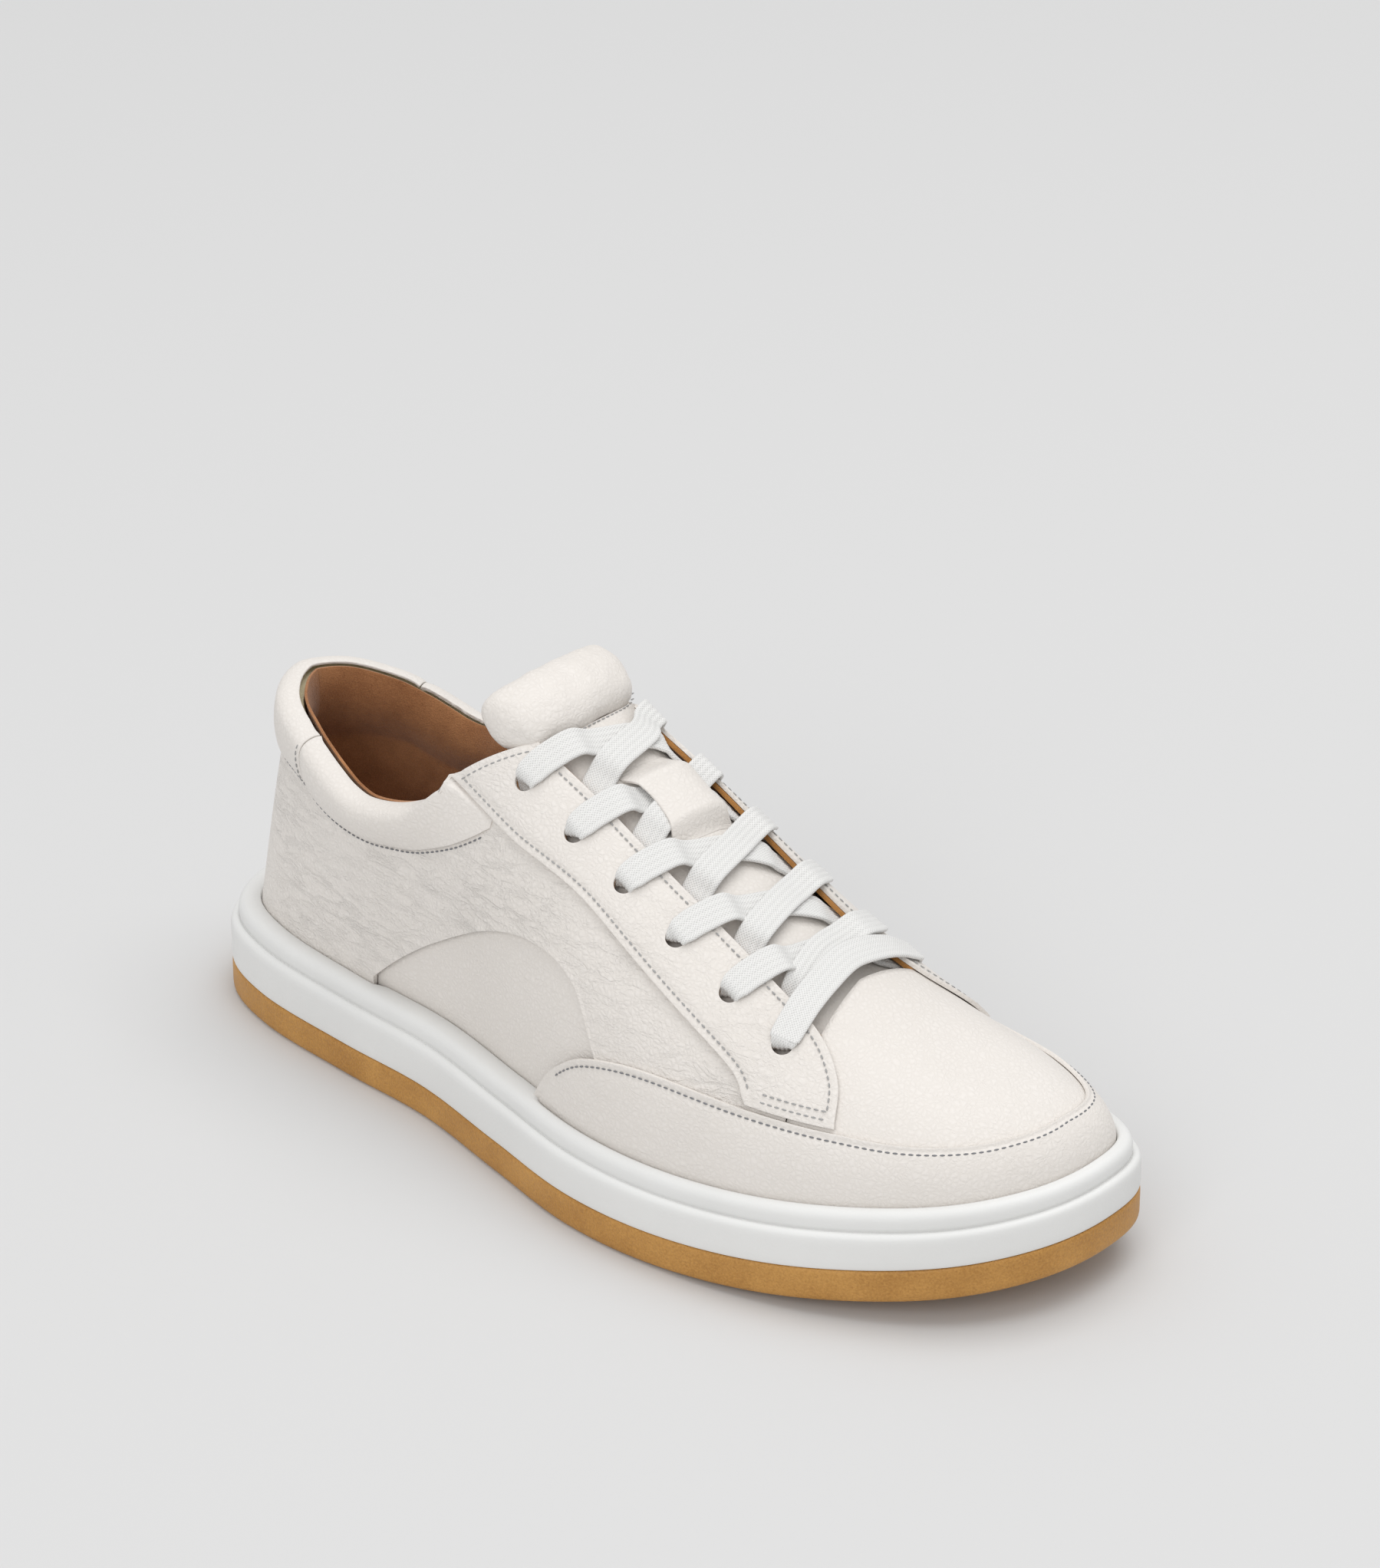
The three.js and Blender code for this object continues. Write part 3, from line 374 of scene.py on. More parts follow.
# ---- the last ----------------------------------------
# The foot form that the upper is pulled over. Ribs run from the sole to the ridge of the instep;
# every panel of the upper is a patch of this surface, with t round the sole and v up to the ridge.
SIDEWALL = 20.5
TOE_WALL_DROP = 4
SEAT = 5
LEDGE = 9
RIDGE_Y = [(0, 2), (60, 5), (120, 14), (150, 13), (180, 10), (236, 8), (264, 15)]
RIDGE_Z = [(0, 150), (60, 150), (90, 144), (120, 130), (150, 113.5), (180, 97), (210, 81.5), (236, 70),
           (262, 60), (305, 46)]
# Where each rib meets the ridge, how upright it leaves the sole, how flat it ends, how far it swells.
RIBS = [
    (58, 0.55, 0.66, -8), (58, 0.55, 0.62, -10), (64, 0.55, 0.72, -4), (84, 0.58, 0.84, 6),
    (110, 0.6, 0.84, 7), (141, 0.6, 0.77, 7), (173, 0.58, 0.7, 5), (205, 0.56, 0.64, 4),
    (233, 0.56, 0.6, 3), (252, 0.6, 0.58, 3), (262, 0.62, 0.6, 3), (264, 0.62, 0.6, 3),
]
INNER_FULLNESS = [0, 0, 0, 0.06, 0.16, 0.16, 0.13, 0.06, 0, 0, 0, 0]


def curve(rows, x):
    """The value at x of a smooth curve through the rows (x, value)."""
    xs, ys = np.array(rows, float).T
    last = len(xs) - 1
    x = np.clip(x, xs[0], xs[last])
    i = np.clip(np.searchsorted(xs, x) - 1, 0, last - 1)
    before, after = np.maximum(i - 1, 0), np.minimum(i + 2, last)
    span = xs[i + 1] - xs[i]
    s = (x - xs[i]) / span
    m0 = (ys[i + 1] - ys[before]) / (xs[i + 1] - xs[before]) * span
    m1 = (ys[after] - ys[i]) / (xs[after] - xs[i]) * span
    return ((2 * s**3 - 3 * s**2 + 1) * ys[i] + (s**3 - 2 * s**2 + s) * m0
            + (3 * s**2 - 2 * s**3) * ys[i + 1] + (s**3 - s**2) * m1)


outer_ribs = np.array(RIBS, float)
outer_ribs[:, 0] *= scale_x
inner_ribs = outer_ribs.copy()
inner_ribs[:, 2] += INNER_FULLNESS
rib_values = np.vstack([outer_ribs, inner_ribs[-2:0:-1]]).T


def lip_height(x):
    return TREAD + SIDEWALL - TOE_WALL_DROP * x / LENGTH + spring(x)


def last_point(t, v):
    meet, upright, flat, swell = (ring(values, t)[..., None] for values in rib_values)
    foot = plan(t, LEDGE)
    top = np.concatenate([meet, curve(RIDGE_Y, meet / scale_x) * scale_y], -1)
    run = top - foot
    out = run / np.linalg.norm(run, axis=-1, keepdims=True)
    z0 = lip_height(foot[..., :1]) - SEAT
    z3 = curve(RIDGE_Z, meet / scale_x)
    reach = top - run * flat
    p0 = np.concatenate([foot, z0], -1)
    p1 = np.concatenate([foot - out * swell, lerp(z0, z3, upright)], -1)
    p2 = np.concatenate([reach, curve(RIDGE_Z, reach[..., :1] / scale_x)], -1)
    p3 = np.concatenate([top, z3], -1)
    v = np.asarray(v, float)[..., None]
    return (1 - v) ** 3 * p0 + 3 * (1 - v) ** 2 * v * p1 + 3 * (1 - v) * v**2 * p2 + v**3 * p3


def unit(vectors):
    return vectors / np.linalg.norm(vectors, axis=-1, keepdims=True)


def raw_normal(t, v):
    step = 1e-3
    along = last_point(t + step, v) - last_point(t - step, v)
    rise = last_point(t, v + step) - last_point(t, v - step)
    return unit(np.cross(along, rise))


def last_normal(t, v):
    """Outward, and shared by both sides on the ridge."""
    near, start = 0.97, 0.85
    share = np.clip((v - start) / (1 - start), 0, 1)[..., None]
    own = raw_normal(t, np.minimum(v, near))
    flat = np.full_like(v, near)
    shared = unit(raw_normal(t, flat) + raw_normal(1 - t, flat))
    return unit(lerp(own, shared, share))


def skin(t, v, d):
    """A point d mm outside the last, in the frame of the shoe, in metres."""
    t, v, d = np.broadcast_arrays(np.asarray(t, float), np.asarray(v, float), np.asarray(d, float))
    return (last_point(t, v) + last_normal(t, v) * d[..., None] - origin) * MM


def across(t, c, d):
    """The same with c over the instep: 0 at the outer sole, 1 on the ridge, 2 at the inner sole."""
    inner = c > 1
    return skin(np.where(inner, 1 - t, t), np.where(inner, 2 - c, c), d)


# ---- white cup ---------------------------------------
# The cupsole: a matte white rubber tray that holds the foot of the upper. Over its wall a narrow
# edge leads to a fine groove, and above the groove stands a soft lip that grips the leather.
# Each row: inset, rise, and whether the rise counts from the tread (0) or from the lip (1).
CUP_WALL = [
    (1.4, 0.05, 0), (0.45, 0.3, 0), (0.12, 1.0, 0), (0, 2.6, 0), (0, 4.2, 0), (0.04, -9.6, 1),
    (0.14, -8.0, 1), (0.4, -6.95, 1), (0.95, -6.25, 1), (1.65, -5.95, 1), (2.3, -5.95, 1), (2.7, -6.2, 1),
    (2.88, -6.1, 1), (2.82, -5.6, 1), (2.66, -5.1, 1), (2.56, -4.2, 1), (2.56, -3.0, 1), (2.8, -1.9, 1),
    (3.4, -0.9, 1), (4.4, -0.22, 1), (5.6, 0, 1),
]
GUARD_TOP = [
    (0.24, 0.03), (0.252, 0.12), (0.269, 0.205), (0.3, 0.29), (0.339, 0.336), (0.372, 0.36),
    (0.397, 0.366), (0.434, 0.408), (0.46, 0.446), (0.5, 0.474),
]
LEATHER = 1.2
OVERLAY = 1.62  # height of a panel that lies on the others
PANEL_DEPTH = LEATHER + 0.35  # of the side underlay, below the face of the quarter

cup_rows = []
for inset, rise, share in rounded(CUP_WALL, 3):
    spot = plan(around, inset)
    base = lerp(TREAD + spring(spot[:, 0]), lip_height(spot[:, 0]), share)
    cup_rows.append(solid_point(spot, base + rise))
# Inside the lip the rubber runs down onto the leather, which stands out at the toe guard and lies
# deeper in the windows of the quarters.
LIP_INSIDE = [(0.15, 0.9), (0.7, 0.3), (1.6, 0.05), (3.4, 0.05)]  # drop, and how proud of the leather
levels = np.linspace(0, 0.3, 60)
heights = last_point(around[:, None], levels[None, :] * np.ones((AROUND, 1)))[..., 2]
one_side = np.minimum(around, 1 - around)
guard_share = smoothstep(one_side, 0.2395, 0.2445)
window_share = smoothstep(one_side, 0.1435, 0.1495) * (1 - guard_share)
leather_face = OVERLAY * guard_share - PANEL_DEPTH * window_share
lip_spot = plan(around, CUP_WALL[-1][0])
for drop, proud in LIP_INSIDE:
    goal = lip_height(lip_spot[:, 0]) - drop
    v_there = np.array([np.interp(z, row, levels) for z, row in zip(goal, heights)])
    cup_rows.append(skin(around, v_there, leather_face + proud))

white = Finish("white_rubber", roughness=0.55, specular_ior_level=0.4)
white_place = white.coordinates()
white_fine = white.noise(white_place, 1100, 2)
white.colour(white.blend(white.ramp(white.noise(white_place, 30, 3), 0.3, 0.7), (0.76, 0.76, 0.748),
                         (0.80, 0.80, 0.788)))
white.bump(white_fine, 0.00012, 0.5)
piece("white_cup", loft(cup_rows), white, ["midsole_cup"])

# ---- filling -----------------------------------------
# Parts that keep their CAD shape and only take a finish: the foam of midsole, footbed, collar and
# tongue, the stitched strobel board, the toe puff and heel counter, and the film on the lace ends.
foam = Finish("filling_foam", roughness=0.9)
foam_cells = foam.noise(foam.coordinates(), 1800, 2)
foam.colour(foam.blend(foam_cells, (0.62, 0.55, 0.36), (0.80, 0.72, 0.50)))
foam.bump(foam_cells, 0.0004, 0.8)
board = Finish("stiff_board", roughness=0.85)
board_fibres = board.noise(board.coordinates((1, 6, 1)), 500, 3)
board.colour(board.blend(board_fibres, (0.55, 0.51, 0.43), (0.72, 0.68, 0.6)))
board.bump(board_fibres, 0.0002, 0.6)
aglet_film = Finish("aglet_film", base_color=(0.85, 0.85, 0.84), roughness=0.2, coat_weight=0.5)
aglet_film.bump(aglet_film.noise(aglet_film.coordinates(), 900, 2), 0.0001, 0.4)
FILLING = {
    foam: ["midsole_foam", "footbed", "collar_foam", "tongue_foam", "tongue_roll_foam"],
    board: ["strobel_board", "toe_puff", "heel_counter"],
    aglet_film: ["aglet_lateral", "aglet_medial"],
}
for finish, names in FILLING.items():
    for name in names:
        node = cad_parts[name]
        node.data.materials.clear()
        node.data.materials.append(finish.material)

# ---- suede insole ------------------------------------
# The cover of the footbed: brown suede glued on foam, cut to the last with a free margin.
LINING_DEPTH = 4.0  # of the inner face of the lining inside the last
INSOLE_INSET = LEDGE + LINING_DEPTH + 0.4
INSOLE_DROP = 1.0  # below the lip
INSOLE_DISH = 0.8  # how far it sinks from its rim, over the next INSOLE_RIM mm
INSOLE_RIM = 8


def suede_finish(name, dark, light, nap=1.0):
    made = Finish(name, roughness=0.95, specular_ior_level=0.15, sheen_weight=0.25, sheen_roughness=0.5)
    place = made.coordinates()
    cloud = made.noise(place, 45, 3, 0.6)
    fuzz = made.noise(place, 2600, 2, 0.7)
    made.colour(made.blend(made.ramp(cloud * 0.6 + fuzz * 0.4, 0.36, 0.64), dark, light))
    made.bump(fuzz * 0.6 + made.noise(place, 700, 3) * 0.4, 0.0005, nap)
    return made


brown = suede_finish("brown_suede", (0.26, 0.105, 0.040), (0.50, 0.235, 0.100))


def insole(u, w):
    left, facing = plan(u / 2, INSOLE_INSET), plan(1 - u / 2, INSOLE_INSET)
    spot = lerp(left, facing, w[:, None])
    margin = np.minimum(w, 1 - w) * np.linalg.norm(facing - left, axis=-1)
    rim = np.minimum(margin, INSOLE_RIM) / INSOLE_RIM
    return solid_point(spot, lip_height(spot[:, 0]) - INSOLE_DROP - INSOLE_DISH * rim * (2 - rim))


insole_mesh = grid(insole, (150, 50), join=1e-6)
piece("suede_insole", insole_mesh, brown, ["footbed_cover"], wall=0.9)

# ---- linings -----------------------------------------
# Brown suede inside the quarters and the vamp. Behind the collar it swells over the foam and comes
# back to meet the leather at the rim.
COLLAR_TOP = [
    (0, 0.425), (0.05, 0.416), (0.09, 0.397), (0.11, 0.373), (0.122, 0.355), (0.132, 0.342),
    (0.143, 0.342), (0.159, 0.369), (0.172, 0.417), (0.181, 0.474),
]
COLLAR_SEAM = [
    (0, 0.296), (0.05, 0.299), (0.083, 0.3), (0.101, 0.293), (0.113, 0.275), (0.127, 0.265),
    (0.142, 0.268), (0.155, 0.281), (0.17, 0.308), (0.185, 0.363), (0.197, 0.43), (0.205, 0.49),
]
STAY_OUTER = [(0.182, 0.503), (0.214, 0.505), (0.255, 0.545), (0.297, 0.508), (0.328, 0.442), (0.338, 0.352)]
STAY_INNER = [
    (0.208, 0.735), (0.25, 0.768), (0.29, 0.778), (0.325, 0.762), (0.353, 0.705), (0.368, 0.57),
    (0.372, 0.38),
]
UNDERLAP = 0.06
VAMP_START = 0.354
SEAM_GAP = 0.0006
INNER_ADVANCE = 0.0115  # how far forward of the outer eyestay, in t, the inner one is set
LINING = 0.8
LINING_TOP = LINING_DEPTH - LINING
LINING_PUFF = 3  # over the collar foam
LINING_LAP = 0.008  # how far, in t, it runs past the vamp's seam


def advance(t):
    return INNER_ADVANCE * smoothstep(t, 0.168, 0.2) * (1 - smoothstep(t, 0.318, VAMP_START - SEAM_GAP))


def side_t(t, inner):
    """t of the same pattern point on either side."""
    return 1 - t - advance(t) if inner else t


def top_line(t):
    t = np.abs(t)
    end, top = COLLAR_TOP[-1]
    return np.where(t <= end, curve(COLLAR_TOP, t), lerp(top, 0.55, (t - end) / 0.012))


def stay_edge(t):
    return curve(STAY_OUTER, t)


def lining_swell(t, v):
    low = curve(COLLAR_SEAM, t) - 0.03
    high = top_line(t)
    fade = 1 - smoothstep(t, 0.15, 0.178)
    return np.where(v < low, 0, LINING_PUFF * fade * np.sin(np.pi * np.clip((v - low) / (high - low), 0, 1)))


def lining_place(inner):
    def place(u, w):
        u = 1 - u if inner else u
        t = lerp(0, VAMP_START + LINING_LAP, u)
        low_top = top_line(t) - 0.003
        top = lerp(low_top, stay_edge(t) + UNDERLAP - 0.015, smoothstep(t, 0.18, 0.2))
        v = lerp(0.01, top, w)
        return skin(side_t(t, inner), v, -LINING_TOP - lining_swell(t, v))
    return place


SIDES = [("lateral", False), ("medial", True)]
for side, inner in SIDES:
    mesh = grid(lining_place(inner), (170, 60))
    piece(f"suede_lining_{side}", mesh, brown, [f"quarter_lining_{side}"],
          wall=LINING, edge=0.3)


def toe_lining(u, w):
    t = lerp(VAMP_START + 0.009, 1 - VAMP_START - 0.009, u)
    return skin(t, lerp(0.01, 1, w), -LINING_TOP)


piece("suede_toe_lining", grid(toe_lining, (90, 40), join=1e-6), brown,
      ["vamp_lining"], wall=LINING)

# ---- side panels -------------------------------------
# A smooth underlay of the same leather on each side, sewn behind the quarter. It shows, a leather's
# thickness lower, through the window that is cut above the sole.
WINDOW_TOP = [
    (0.143, 0.03), (0.18, 0.16), (0.22, 0.308), (0.244, 0.358), (0.259, 0.345), (0.266, 0.3),
    (0.274, 0.23), (0.283, 0.15), (0.3, 0),
]
PANEL_SPAN = (0.13, 0.292)
IVORY = (0.81, 0.77, 0.73)
GLOSS = 0.5  # roughness of the leather


def leather_finish(name, pebble, crease):
    """Off-white full-grain leather: pebbles about 1.6 mm wide, and longer creases in patches."""
    made = Finish(name, roughness=GLOSS, specular_ior_level=0.4)
    place = made.coordinates()
    warp = made.node("ShaderNodeTexNoise", None, {"Vector": place, "Scale": 160, "Detail": 2})["Color"]
    bent = made.node("ShaderNodeVectorMath", {"operation": "MULTIPLY_ADD"},
                     {0: warp, 1: (0.004, 0.004, 0.004), 2: place})["Vector"]
    cells = made.node("ShaderNodeTexVoronoi", {"feature": "DISTANCE_TO_EDGE"},
                      {"Vector": bent, "Scale": 620})["Distance"]
    pebbles = made.ramp(cells, 0, 0.35)
    slanted = made.coordinates((34, 60, 95), (0.3, 0.5, 0.4))
    folds = made.noise(slanted, 2.6, 5, 0.62, distortion=0.6)
    lines = made.ramp((folds - 0.5).math("ABSOLUTE"), 0, 0.07)
    where = made.ramp(made.noise(place, 26, 2), 0.25, 0.6)
    creases = 1 - (1 - lines) * where
    fine = made.noise(place, 2400, 2)
    made.bump(pebbles * (0.42 * pebble) + creases * (0.5 * crease) + fine * 0.1, 0.0007, 0.75)
    cloud = made.noise(place, 18, 3)
    dark = tuple(channel * shade for channel, shade in zip(IVORY, (0.93, 0.925, 0.915)))
    made.colour(made.blend(made.ramp(cloud * 0.7 + pebbles * 0.3, 0.3, 0.75), dark, IVORY))
    uneven = made.ramp(fine * 0.5 + cloud * 0.5, 0.3, 0.7) * 0.12 + (GLOSS - 0.06)
    made.put(made.shader.inputs["Roughness"], uneven)
    return made


smooth_leather = leather_finish("smooth_leather", 0.35, 0.2)
grained_leather = leather_finish("grained_leather", 0.6, 0.85)
flap_leather = leather_finish("flap_leather", 0.5, 0.4)


def turned(place, inner):
    """The place function of the other side: the same pattern, mirrored on the last."""
    def mirrored(u, w):
        t, v, d = place(1 - u if inner else u, w)
        return skin(side_t(t, inner), v, d)
    return mirrored


def side_panel(u, w):
    t = lerp(*PANEL_SPAN, u)
    v = lerp(0, np.maximum(curve(WINDOW_TOP, t), 0.05) + 0.04, w)
    return t, v, np.full_like(t, -PANEL_DEPTH)


for side, inner in SIDES:
    piece(f"side_underlay_{side}", grid(turned(side_panel, inner), (90, 44)), smooth_leather,
          [f"side_panel_{side}"], wall=LINING)

# ---- quarters ----------------------------------------
# The two grained halves of the back of the shoe, cut by hand with a window on each side. Their raw
# edge round the window is turned slightly proud. They meet at the back under the heel tab.
HEEL_SEAM = 0.0006  # half the gap, in t, between the two quarters
TURNED_EDGE = 0.25  # how far the raw edge stands up


def quarter(u, w):
    t = lerp(HEEL_SEAM, VAMP_START - SEAM_GAP, u)
    top = lerp(curve(COLLAR_SEAM, t) + 0.004, stay_edge(t) + UNDERLAP, smoothstep(t, 0.195, 0.212))
    open_here = (t > WINDOW_TOP[0][0]) & (t < WINDOW_TOP[-1][0])
    foot = np.where(open_here, np.maximum(curve(WINDOW_TOP, t), 0), 0)
    v = lerp(foot, top, w)
    rolled = np.where(open_here, TURNED_EDGE * np.exp(-(((v - foot) / 0.012) ** 2)), 0)
    return t, v, rolled


for side, inner in SIDES:
    piece(f"leather_quarter_{side}", grid(turned(quarter, inner), (300, 70)), grained_leather,
          [f"quarter_{side}"], wall=LEATHER, edge=0.35)

# ---- vamp and toe guard ------------------------------
# The vamp is one smooth piece over the toes. The toe guard wraps it from one side of the ball to the
# other, and lies on top with its upper edge stitched down.


def vamp(u, w):
    t = lerp(VAMP_START, 1 - VAMP_START, u)
    return skin(t, w, np.zeros_like(t))


piece("leather_vamp", grid(vamp, (120, 90), join=1e-6), smooth_leather, ["vamp"],
      wall=LEATHER)


def guard_top(t):
    return curve(GUARD_TOP, np.minimum(t, 1 - t))


def toe_guard(u, w):
    t = lerp(GUARD_TOP[0][0], 1 - GUARD_TOP[0][0], u)
    v = lerp(0, guard_top(t), w)
    pressed = 0.35 * np.exp(-(((guard_top(t) - v) / 0.022 - 1) ** 2) * 3)
    return skin(t, v, OVERLAY - 0.1 - pressed)


piece("leather_toe_guard", grid(toe_guard, (300, 50)), smooth_leather, ["toe_guard"],
      wall=LEATHER, edge=0.4)

# ---- padded collar and heel tab ----------------------
# Soft leather over foam, sewn down along the collar seam and turned over the rim to meet the lining.
# The heel tab is a wider piece of it round the back, joined to the side collars by upright seams.
TAB_END = 0.103
COLLAR_SKIN = 1.0
COLLAR_PUFF = 3.4
COVER_TURN = 0.68  # share of the cover that lies below the roll over the rim
COVER_SEAM = 0.5  # height of the cover at the seam
COVER_ROLL = 0.03  # how far, in v, the roll starts below the rim


def collar_profile(t, w):
    side = np.abs(t)
    seam = curve(COLLAR_SEAM, side)
    rolled = 1 - smoothstep(side, 0.165, 0.18)
    flap = stay_edge(side)
    top = np.where(side < 0.18, top_line(t), flap + 0.03 * smoothstep(side, 0.18, 0.186))
    full = COLLAR_PUFF * np.minimum(1, (top - seam) / 0.075) * (1 - smoothstep(side, 0.17, 0.2))
    turned_in = -LINING_TOP + 0.8
    shoulder = top - COVER_ROLL * rolled
    rise = np.sin(np.pi / 2 * np.minimum(w / COVER_TURN, 1)) ** 0.8
    angle = np.clip((w - COVER_TURN) / (1 - COVER_TURN), 0, 1) * np.pi / 2
    below = w <= COVER_TURN
    v = np.where(below, lerp(seam, shoulder, w / COVER_TURN),
                 top - COVER_ROLL * rolled * (1 - np.sin(angle)))
    d = np.where(below, COVER_SEAM + full * rise,
                 lerp(COVER_SEAM + full, lerp(COVER_SEAM, turned_in, rolled), 1 - np.cos(angle)))
    pressed = smoothstep(v, flap - 0.014, flap - 0.004) * smoothstep(side, 0.178, 0.184)
    return v, lerp(d + 0.5 * COLLAR_SKIN, 0.25, pressed)


def collar_piece(name, start, end, inner, node, cells):
    def place(u, w):
        t = lerp(start, end, u)
        v, d = collar_profile(t, w)
        edge = np.minimum(u, 1 - u) * abs(end - start)
        tuck = 0.55 * np.exp(-((edge / 0.0022) ** 2))
        return t, v, d - tuck
    made = piece(name, grid(turned(place, inner), (cells, 44)), smooth_leather, [node],
                 wall=COLLAR_SKIN, edge=0.3)
    return made


collar_piece("padded_heel_tab", -TAB_END, TAB_END, False, "heel_tab", 130)
for side, inner in SIDES:
    collar_piece(f"padded_collar_{side}", TAB_END + SEAM_GAP, 0.203, inner, f"collar_{side}", 90)

# ---- tongue ------------------------------------------
# A leather blade on foam with a suede back, sewn in at the front. Its top edge is drawn up to the
# seam of the stuffed roll, so the roll's own form is worked out here too.
LACE_THICKNESS = 1.2
PLY = 0.6  # room left between two layers
TONGUE_PAD = 2.5  # foam in the blade
LACE_UNDER = -LEATHER - PLY - LACE_THICKNESS / 2
LACE_OVER = OVERLAY + PLY + LACE_THICKNESS / 2
TONGUE_TOP = LACE_UNDER - LACE_THICKNESS / 2 - 0.5
TONGUE_SEAM = 0.217
TONGUE_RISE = 0.004  # its corners reach this much of t further back


def skewed(t, c):
    """t gains the advance on its way over the instep from the outer to the inner eyelets."""
    return t + advance(t) * smoothstep(c, 0.67, 1.33)


def instep(t, c, d):
    return across(skewed(t, c), c, d)


middle = np.ones(1)
per_t = np.linalg.norm(across(TONGUE_SEAM - 0.02 * middle, middle, 0 * middle)
                       - across(TONGUE_SEAM * middle, middle, 0 * middle)) / MM / 0.02
ROLL_LENGTH, ROLL_THICKNESS = 22, 12
ROLL_SPAN = (-18.5 * scale_y, 28 * scale_y)  # y of its two ends
ROLL_SHIFT = 1.5  # both ends lie this much to the outer side, clear of the inner flap
ROLL_ARCH = 3
ROLL_SWEEP = 3  # how far its ends are set back
ROLL_DROOP = 3  # how far its outer end hangs over the flap
ROLL_PLUMP = 1.15  # how much fuller the leather is than the plain form
ROLL_SEAT = 1.2  # its seam lies this far behind the blade's edge, and below its face
roll_depth = TONGUE_TOP - ROLL_SEAT
roll_hinge = TONGUE_SEAM - ROLL_SEAT / per_t
roll_centre = across((roll_hinge - ROLL_LENGTH / 2 / per_t) * middle, middle, roll_depth)[0] / MM
roll_along = (across(roll_hinge * middle, middle, roll_depth)[0] / MM - roll_centre) * (1, 0, 1)
roll_along /= np.linalg.norm(roll_along)
roll_up = np.array((-roll_along[2], 0, roll_along[0]))


def roll_point(a, angle):
    """The tongue's cushion: a from end to end, and the angle round it from the seam."""
    off = 2 * a - 1
    end = off**4
    cap = (1 - np.abs(off) ** 14) ** 0.5
    pinch = 1 - 0.3 * np.exp(-((np.minimum(angle, 2 * np.pi - angle) / 0.5) ** 2))
    high = ROLL_PLUMP * ROLL_THICKNESS / 2 * (1 - 0.12 * end) * cap * np.sin(angle) * pinch
    high -= ROLL_ARCH * off**2 + ROLL_DROOP * np.maximum(0, -off) ** 2.5
    ahead = ROLL_LENGTH / 2 * (1 - 0.1 * end) * cap * np.cos(angle) - ROLL_SWEEP * end
    spot = roll_centre + high[:, None] * roll_up + ahead[:, None] * roll_along
    spot[:, 1] = lerp(ROLL_SPAN[0] - ROLL_SHIFT, ROLL_SPAN[1] - ROLL_SHIFT, a)
    return spot * MM


def tongue_place(depth):
    def place(u, w):
        t = lerp(TONGUE_SEAM - TONGUE_RISE * (2 * w - 1) ** 2, VAMP_START + 0.0095, u)
        wing = stay_edge(t) + UNDERLAP + 0.02
        return instep(t, lerp(wing, 2 - wing, w), np.full_like(t, depth))
    return place


def tongue_front(u, w):
    """The leather of the blade, drawn up to the seam of the roll at its top edge."""
    spot = tongue_place(TONGUE_TOP)(u, w)
    y = spot[:, 1] / MM
    share = np.clip((y - ROLL_SPAN[0]) / (ROLL_SPAN[1] - ROLL_SPAN[0]), 0.05, 0.95)
    seam = roll_point(share, np.zeros_like(share))
    seam[:, 1] = spot[:, 1]
    hold = (1 - smoothstep(u, 0, 0.12)) * smoothstep(y, -17, -12) * (1 - smoothstep(y, 21, 26))
    return lerp(spot, seam, hold[:, None])


piece("tongue_leather", grid(tongue_front, (130, 70)), smooth_leather,
      ["tongue_face"], wall=LEATHER, edge=0.3)
tongue_back = TONGUE_TOP - LEATHER - PLY - TONGUE_PAD - PLY
piece("tongue_suede", grid(tongue_place(tongue_back), (90, 50)), brown,
      ["tongue_lining"], wall=LINING)

# ---- tongue roll -------------------------------------
# A cushion of soft leather stuffed with foam, wrapped round and sewn to the top of the blade along
# one puckered seam. It hinges on that seam.


def roll(u, w):
    spread = 0.5 - 0.5 * np.cos(np.pi * u)
    return roll_point(lerp(spread, u, 0.5), (1 - w) * 2 * np.pi)


roll_mesh = grid(roll, (90, 72), join=1e-5)
for vert in roll_mesh.verts:
    ripple = noise.noise(vert.co * 160) * 0.35 + noise.noise(vert.co * 420) * 0.12
    vert.co += vert.normal * ripple * MM
bmesh.ops.recalc_face_normals(roll_mesh, faces=roll_mesh.faces)
roll_piece = piece("padded_tongue_roll", roll_mesh, smooth_leather, ["tongue_roll_cover"],
                   body="tongue_roll")

# ---- eyestays ----------------------------------------
# Grained leather flaps with six punched holes each, backed with tan suede whose raw edge shows in the
# throat. The outer edge is stitched to the quarter.
EYELET_LINE = [(0.211, 0.637), (0.239, 0.648), (0.268, 0.662), (0.293, 0.657), (0.319, 0.637), (0.343, 0.597)]
EYELET_ROWS = 6
EYELET_HOLE = 6
STRETCH = 8  # t is stretched so that equal steps on a path are equal on the last


def path(rows):
    """A pattern line as dense points and their share of the way along it."""
    dense = np.array(rounded(np.array(rows, float) * (STRETCH, 1), 60))
    steps = np.linalg.norm(np.diff(dense, axis=0), axis=-1)
    far = np.concatenate([[0], np.cumsum(steps)])
    return dense / (STRETCH, 1), far / far[-1]


def on_path(line, u):
    dense, far = line
    return np.interp(u, far, dense[:, 0]), np.interp(u, far, dense[:, 1])


stay_outer, stay_inner = path(STAY_OUTER), path(STAY_INNER)
eyelet_t, eyelet_v = on_path(path(EYELET_LINE), np.arange(EYELET_ROWS) / (EYELET_ROWS - 1))


def stay_point(u, w):
    (t0, v0), (t1, v1) = on_path(stay_outer, u), on_path(stay_inner, u)
    return lerp(t0, t1, w), lerp(v0, v1, w)


